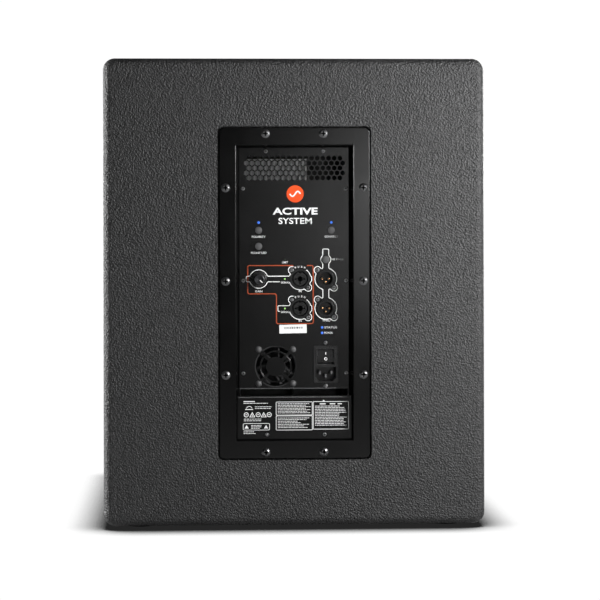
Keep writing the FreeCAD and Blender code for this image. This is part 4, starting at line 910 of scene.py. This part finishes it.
def paint_screw_recess_shade(node):
    """Painted shade: a dark cross and peg laid into each cross recess, below the top of the head, where the recess lies
    in shade.
    """
    ink = Print(0)
    turns = np.linspace(0, 2 * math.pi, 21)[:-1]
    for u, v, w, radius in screw_places(node):
        ink.w, ink.centre = w + CROSS_DEPTH * radius, (u, v)
        reach, half, peg = CROSS_REACH * radius, CROSS_HALF * radius, CROSS_PEG * radius
        ink.bar(-reach, reach, -half, half)
        ink.bar(-half, half, half, reach)
        ink.bar(-half, half, -reach, -half)
        ink.add([(peg * math.cos(a), peg * math.sin(a)) for a in turns])
    return ink.build(f"{node}_painted_recess_shade_marks", PAINTED_RECESS_SHADE)


# ---- switch marks ----


def switch_marks():
    """The on and off marks, on the rocker's own two faces."""
    low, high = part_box("power_rocker")
    tilt = math.radians(12.0)
    pivot = on_panel(INLET[0], INLET[1] + ROCKER_UP, 24.5)
    turn = Matrix.Rotation(tilt, 3, "X")
    points, faces = [], []

    def mark(path, width):
        ink = Print(0)
        ink.stroke(path, width, closed=len(path) > 2)
        for face in ink.faces:
            first = len(points)
            for i in face:
                flat = ink.points[i]
                v = (flat.z - PANEL_Z) / MM
                w = 20.8 - 0.4 * abs(v) / 7.2 - 0.05
                local = on_panel(INLET[0] - flat.x / MM, INLET[1] + ROCKER_UP + v, w)
                points.append(pivot + turn @ (local - pivot))
            faces.append(list(range(first, first + 4)))

    mark([(0, 1.9), (0, 4.7)], 0.8)
    mark(arc(0, -3.4, 1.5, steps=28)[:-1], 0.8)
    marks = piece("switch_marks", points, faces, WHITE_INK, "power_switch")
    return marks


# ---- perforated grille ----


def front_grille():
    """Folded sheet with a plain border and a field of six-sided holes."""
    low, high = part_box("front_grille")
    thick, band, bend, corner = 1.5 * MM, 16 * MM, 3 * MM, 8 * MM
    cx, cz = (low.x + high.x) / 2, (low.z + high.z) / 2
    half_x, half_z = (high.x - low.x) / 2, (high.z - low.z) / 2
    front, back = low.y, high.y

    def frame_loop(inset, y):
        r = max(corner - inset, 0.00002)
        path = rounded(-half_x + inset, half_x - inset, -half_z + inset, half_z - inset, r, 6)
        return [(cx + u, y, cz + v) for u, v in path]

    bend_steps = [(bend * (1 - math.cos(a)), bend * (1 - math.sin(a))) for a in np.linspace(0, math.pi / 2, 6)]
    profile = [(0.0, back)] + [(i, front + rise) for i, rise in bend_steps] + [(band, front), (band, front + thick)]
    inner = bend - thick
    profile += [
        (thick + inner * (1 - math.cos(a)), front + thick + inner * (1 - math.sin(a)))
        for a in np.linspace(math.pi / 2, 0, 4)
    ]
    profile += [(thick, back)]
    points, faces = [], []
    loops = [frame_loop(i, y) for i, y in profile]
    size = len(loops[0])
    for loop in loops:
        points += loop
    for k in range(len(loops)):
        a, b = k * size, (k + 1) % len(loops) * size
        for i in range(size):
            j = (i + 1) % size
            faces.append([a + i, a + j, b + j, b + i])
    pitch, hole = 8.0 * MM, 6.3 * MM
    rise = pitch * math.sqrt(3) / 2
    reach_x, reach_z = half_x - band, half_z - band
    turns = [math.radians(90 + 60 * i) for i in range(6)]
    outer_r, inner_r = pitch / math.sqrt(3), hole / math.sqrt(3)
    y0, y1 = front + 0.2 * MM, front + thick
    rows, columns = math.ceil(reach_z / rise) + 1, math.ceil(reach_x / pitch) + 1
    badge = middle("front_badge")
    for row in range(-rows, rows + 1):
        for column in range(-columns, columns + 1):
            x = (column + 0.5 * (row % 2)) * pitch
            z = row * rise
            if abs(x) > reach_x + pitch * 0.55 or abs(z) > reach_z + rise * 0.6:
                continue
            open_cell = abs(x) < reach_x - hole / 2 and abs(z) < reach_z - hole / 2
            open_cell = open_cell and math.hypot(x - badge.x, cz + z - badge.z) > 8 * MM
            first = len(points)
            corners = [(math.cos(a), math.sin(a)) for a in turns]
            points += [(cx + x + outer_r * c, y0, cz + z + outer_r * s) for c, s in corners]
            if not open_cell:
                faces.append([first + i for i in range(6)])
                continue
            points += [(cx + x + inner_r * c, y0, cz + z + inner_r * s) for c, s in corners]
            points += [(cx + x + inner_r * c, y1, cz + z + inner_r * s) for c, s in corners]
            for i in range(6):
                j = (i + 1) % 6
                faces.append([first + i, first + j, first + 6 + j, first + 6 + i])
                faces.append([first + 6 + i, first + 6 + j, first + 12 + j, first + 12 + i])
    grille = piece("perforated_grille", points, faces, POWDER)
    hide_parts("front_grille")
    return grille


# ---- stage ----


def area_light(name, place, aim, size, power, tint=(1, 1, 1)):
    light = bpy.data.lights.new(name, "AREA")
    light.shape, light.size, light.size_y = "RECTANGLE", *size
    light.energy, light.color = power, tint
    obj = bpy.data.objects.new(name, light)
    obj.location = place
    obj.rotation_euler = (Vector(place) - Vector(aim)).to_track_quat("Z", "Y").to_euler()
    bpy.context.scene.collection.objects.link(obj)
    return obj


def floor_material():
    """White card that is brightest in the open, with a painted contact shadow: its glow, seen only by the camera,
    darkens under and round what stands on it as ambient occlusion rises.
    """
    material = bpy.data.materials.new("studio_floor")
    material.use_nodes = True
    nodes, links = material.node_tree.nodes, material.node_tree.links
    # Painted shadow: ambient occlusion sets the strength of the glow the camera sees.
    shade = nodes.new("ShaderNodeAmbientOcclusion")
    shade.inputs["Distance"].default_value = 0.06
    shade.samples = 16
    ramp = nodes.new("ShaderNodeMapRange")
    for socket, number in zip(("From Min", "From Max", "To Min", "To Max"), (0.5, 0.93, 0.02, 1.02)):
        ramp.inputs[socket].default_value = number
    links.new(shade.outputs["AO"], ramp.inputs["Value"])
    glow, mix, rays = (nodes.new("ShaderNode" + kind) for kind in ("Emission", "MixShader", "LightPath"))
    links.new(ramp.outputs["Result"], glow.inputs["Strength"])
    card = nodes["Principled BSDF"]
    card.inputs["Base Color"].default_value = (0.35, 0.35, 0.35, 1)
    card.inputs["Roughness"].default_value = 1.0
    links.new(rays.outputs["Is Camera Ray"], mix.inputs["Fac"])
    links.new(card.outputs[0], mix.inputs[1])
    links.new(glow.outputs[0], mix.inputs[2])
    links.new(mix.outputs[0], nodes["Material Output"].inputs["Surface"])
    return material


def studio():
    mesh = bpy.data.meshes.new("floor")
    mesh.from_pydata([(-40, -60, 0), (40, -60, 0), (40, 3, 0), (-40, 3, 0)], [], [(0, 1, 2, 3)])
    mesh.materials.append(floor_material())
    floor = bpy.data.objects.new("floor", mesh)
    bpy.context.scene.collection.objects.link(floor)
    world = bpy.data.worlds.new("studio")
    world.use_nodes = True
    nodes, links = world.node_tree.nodes, world.node_tree.links
    dim, bright = nodes["Background"], nodes.new("ShaderNodeBackground")
    dim.inputs["Color"].default_value, dim.inputs["Strength"].default_value = (1, 1, 1, 1), 0.008
    bright.inputs["Color"].default_value, bright.inputs["Strength"].default_value = (1, 1, 1, 1), 1.02
    mix, rays = nodes.new("ShaderNodeMixShader"), nodes.new("ShaderNodeLightPath")
    links.new(rays.outputs["Is Camera Ray"], mix.inputs["Fac"])
    links.new(dim.outputs[0], mix.inputs[1])
    links.new(bright.outputs[0], mix.inputs[2])
    links.new(mix.outputs[0], nodes["World Output"].inputs["Surface"])
    bpy.context.scene.world = world
    bpy.context.scene.view_settings.view_transform = "Standard"
    area_light("key", (-0.62, 3.3, 0.40), (-0.05, 0.3, 0.35), (0.70, 0.42), 4.0)
    area_light("side", (-0.66, 0.82, 0.54), (0, 0.3, 0.44), (0.24, 0.26), 13)
    area_light("fill", (-1.0, 2.4, 1.9), (0, 0.3, 0.3), (2.2, 2.2), 6)
    area_light("rim", (1.5, -0.02, 0.5), (0.22, 0.28, 0.35), (0.4, 1.0), 44)
    area_light("front", (-1.5, -2.2, 1.1), (0, -0.3, 0.3), (1.6, 1.6), 110)
    area_light("front_low", (0.9, -2.8, 0.5), (0, -0.3, 0.3), (1.2, 1.2), 60)


control_legends()
latch_letters("latch_a", "input_latch_a", COMBO_A)
latch_letters("latch_b", "input_latch_b", COMBO_B)
orange_line()
badge()
sticker()
label_print()
edge_beads_and_painted_highlights()
knob_cap()
paint_screw_recess_shade("frame_screws")
paint_screw_recess_shade("panel_screws")
paint_screw_recess_shade("connector_screws")
switch_marks()
front_grille()
studio()
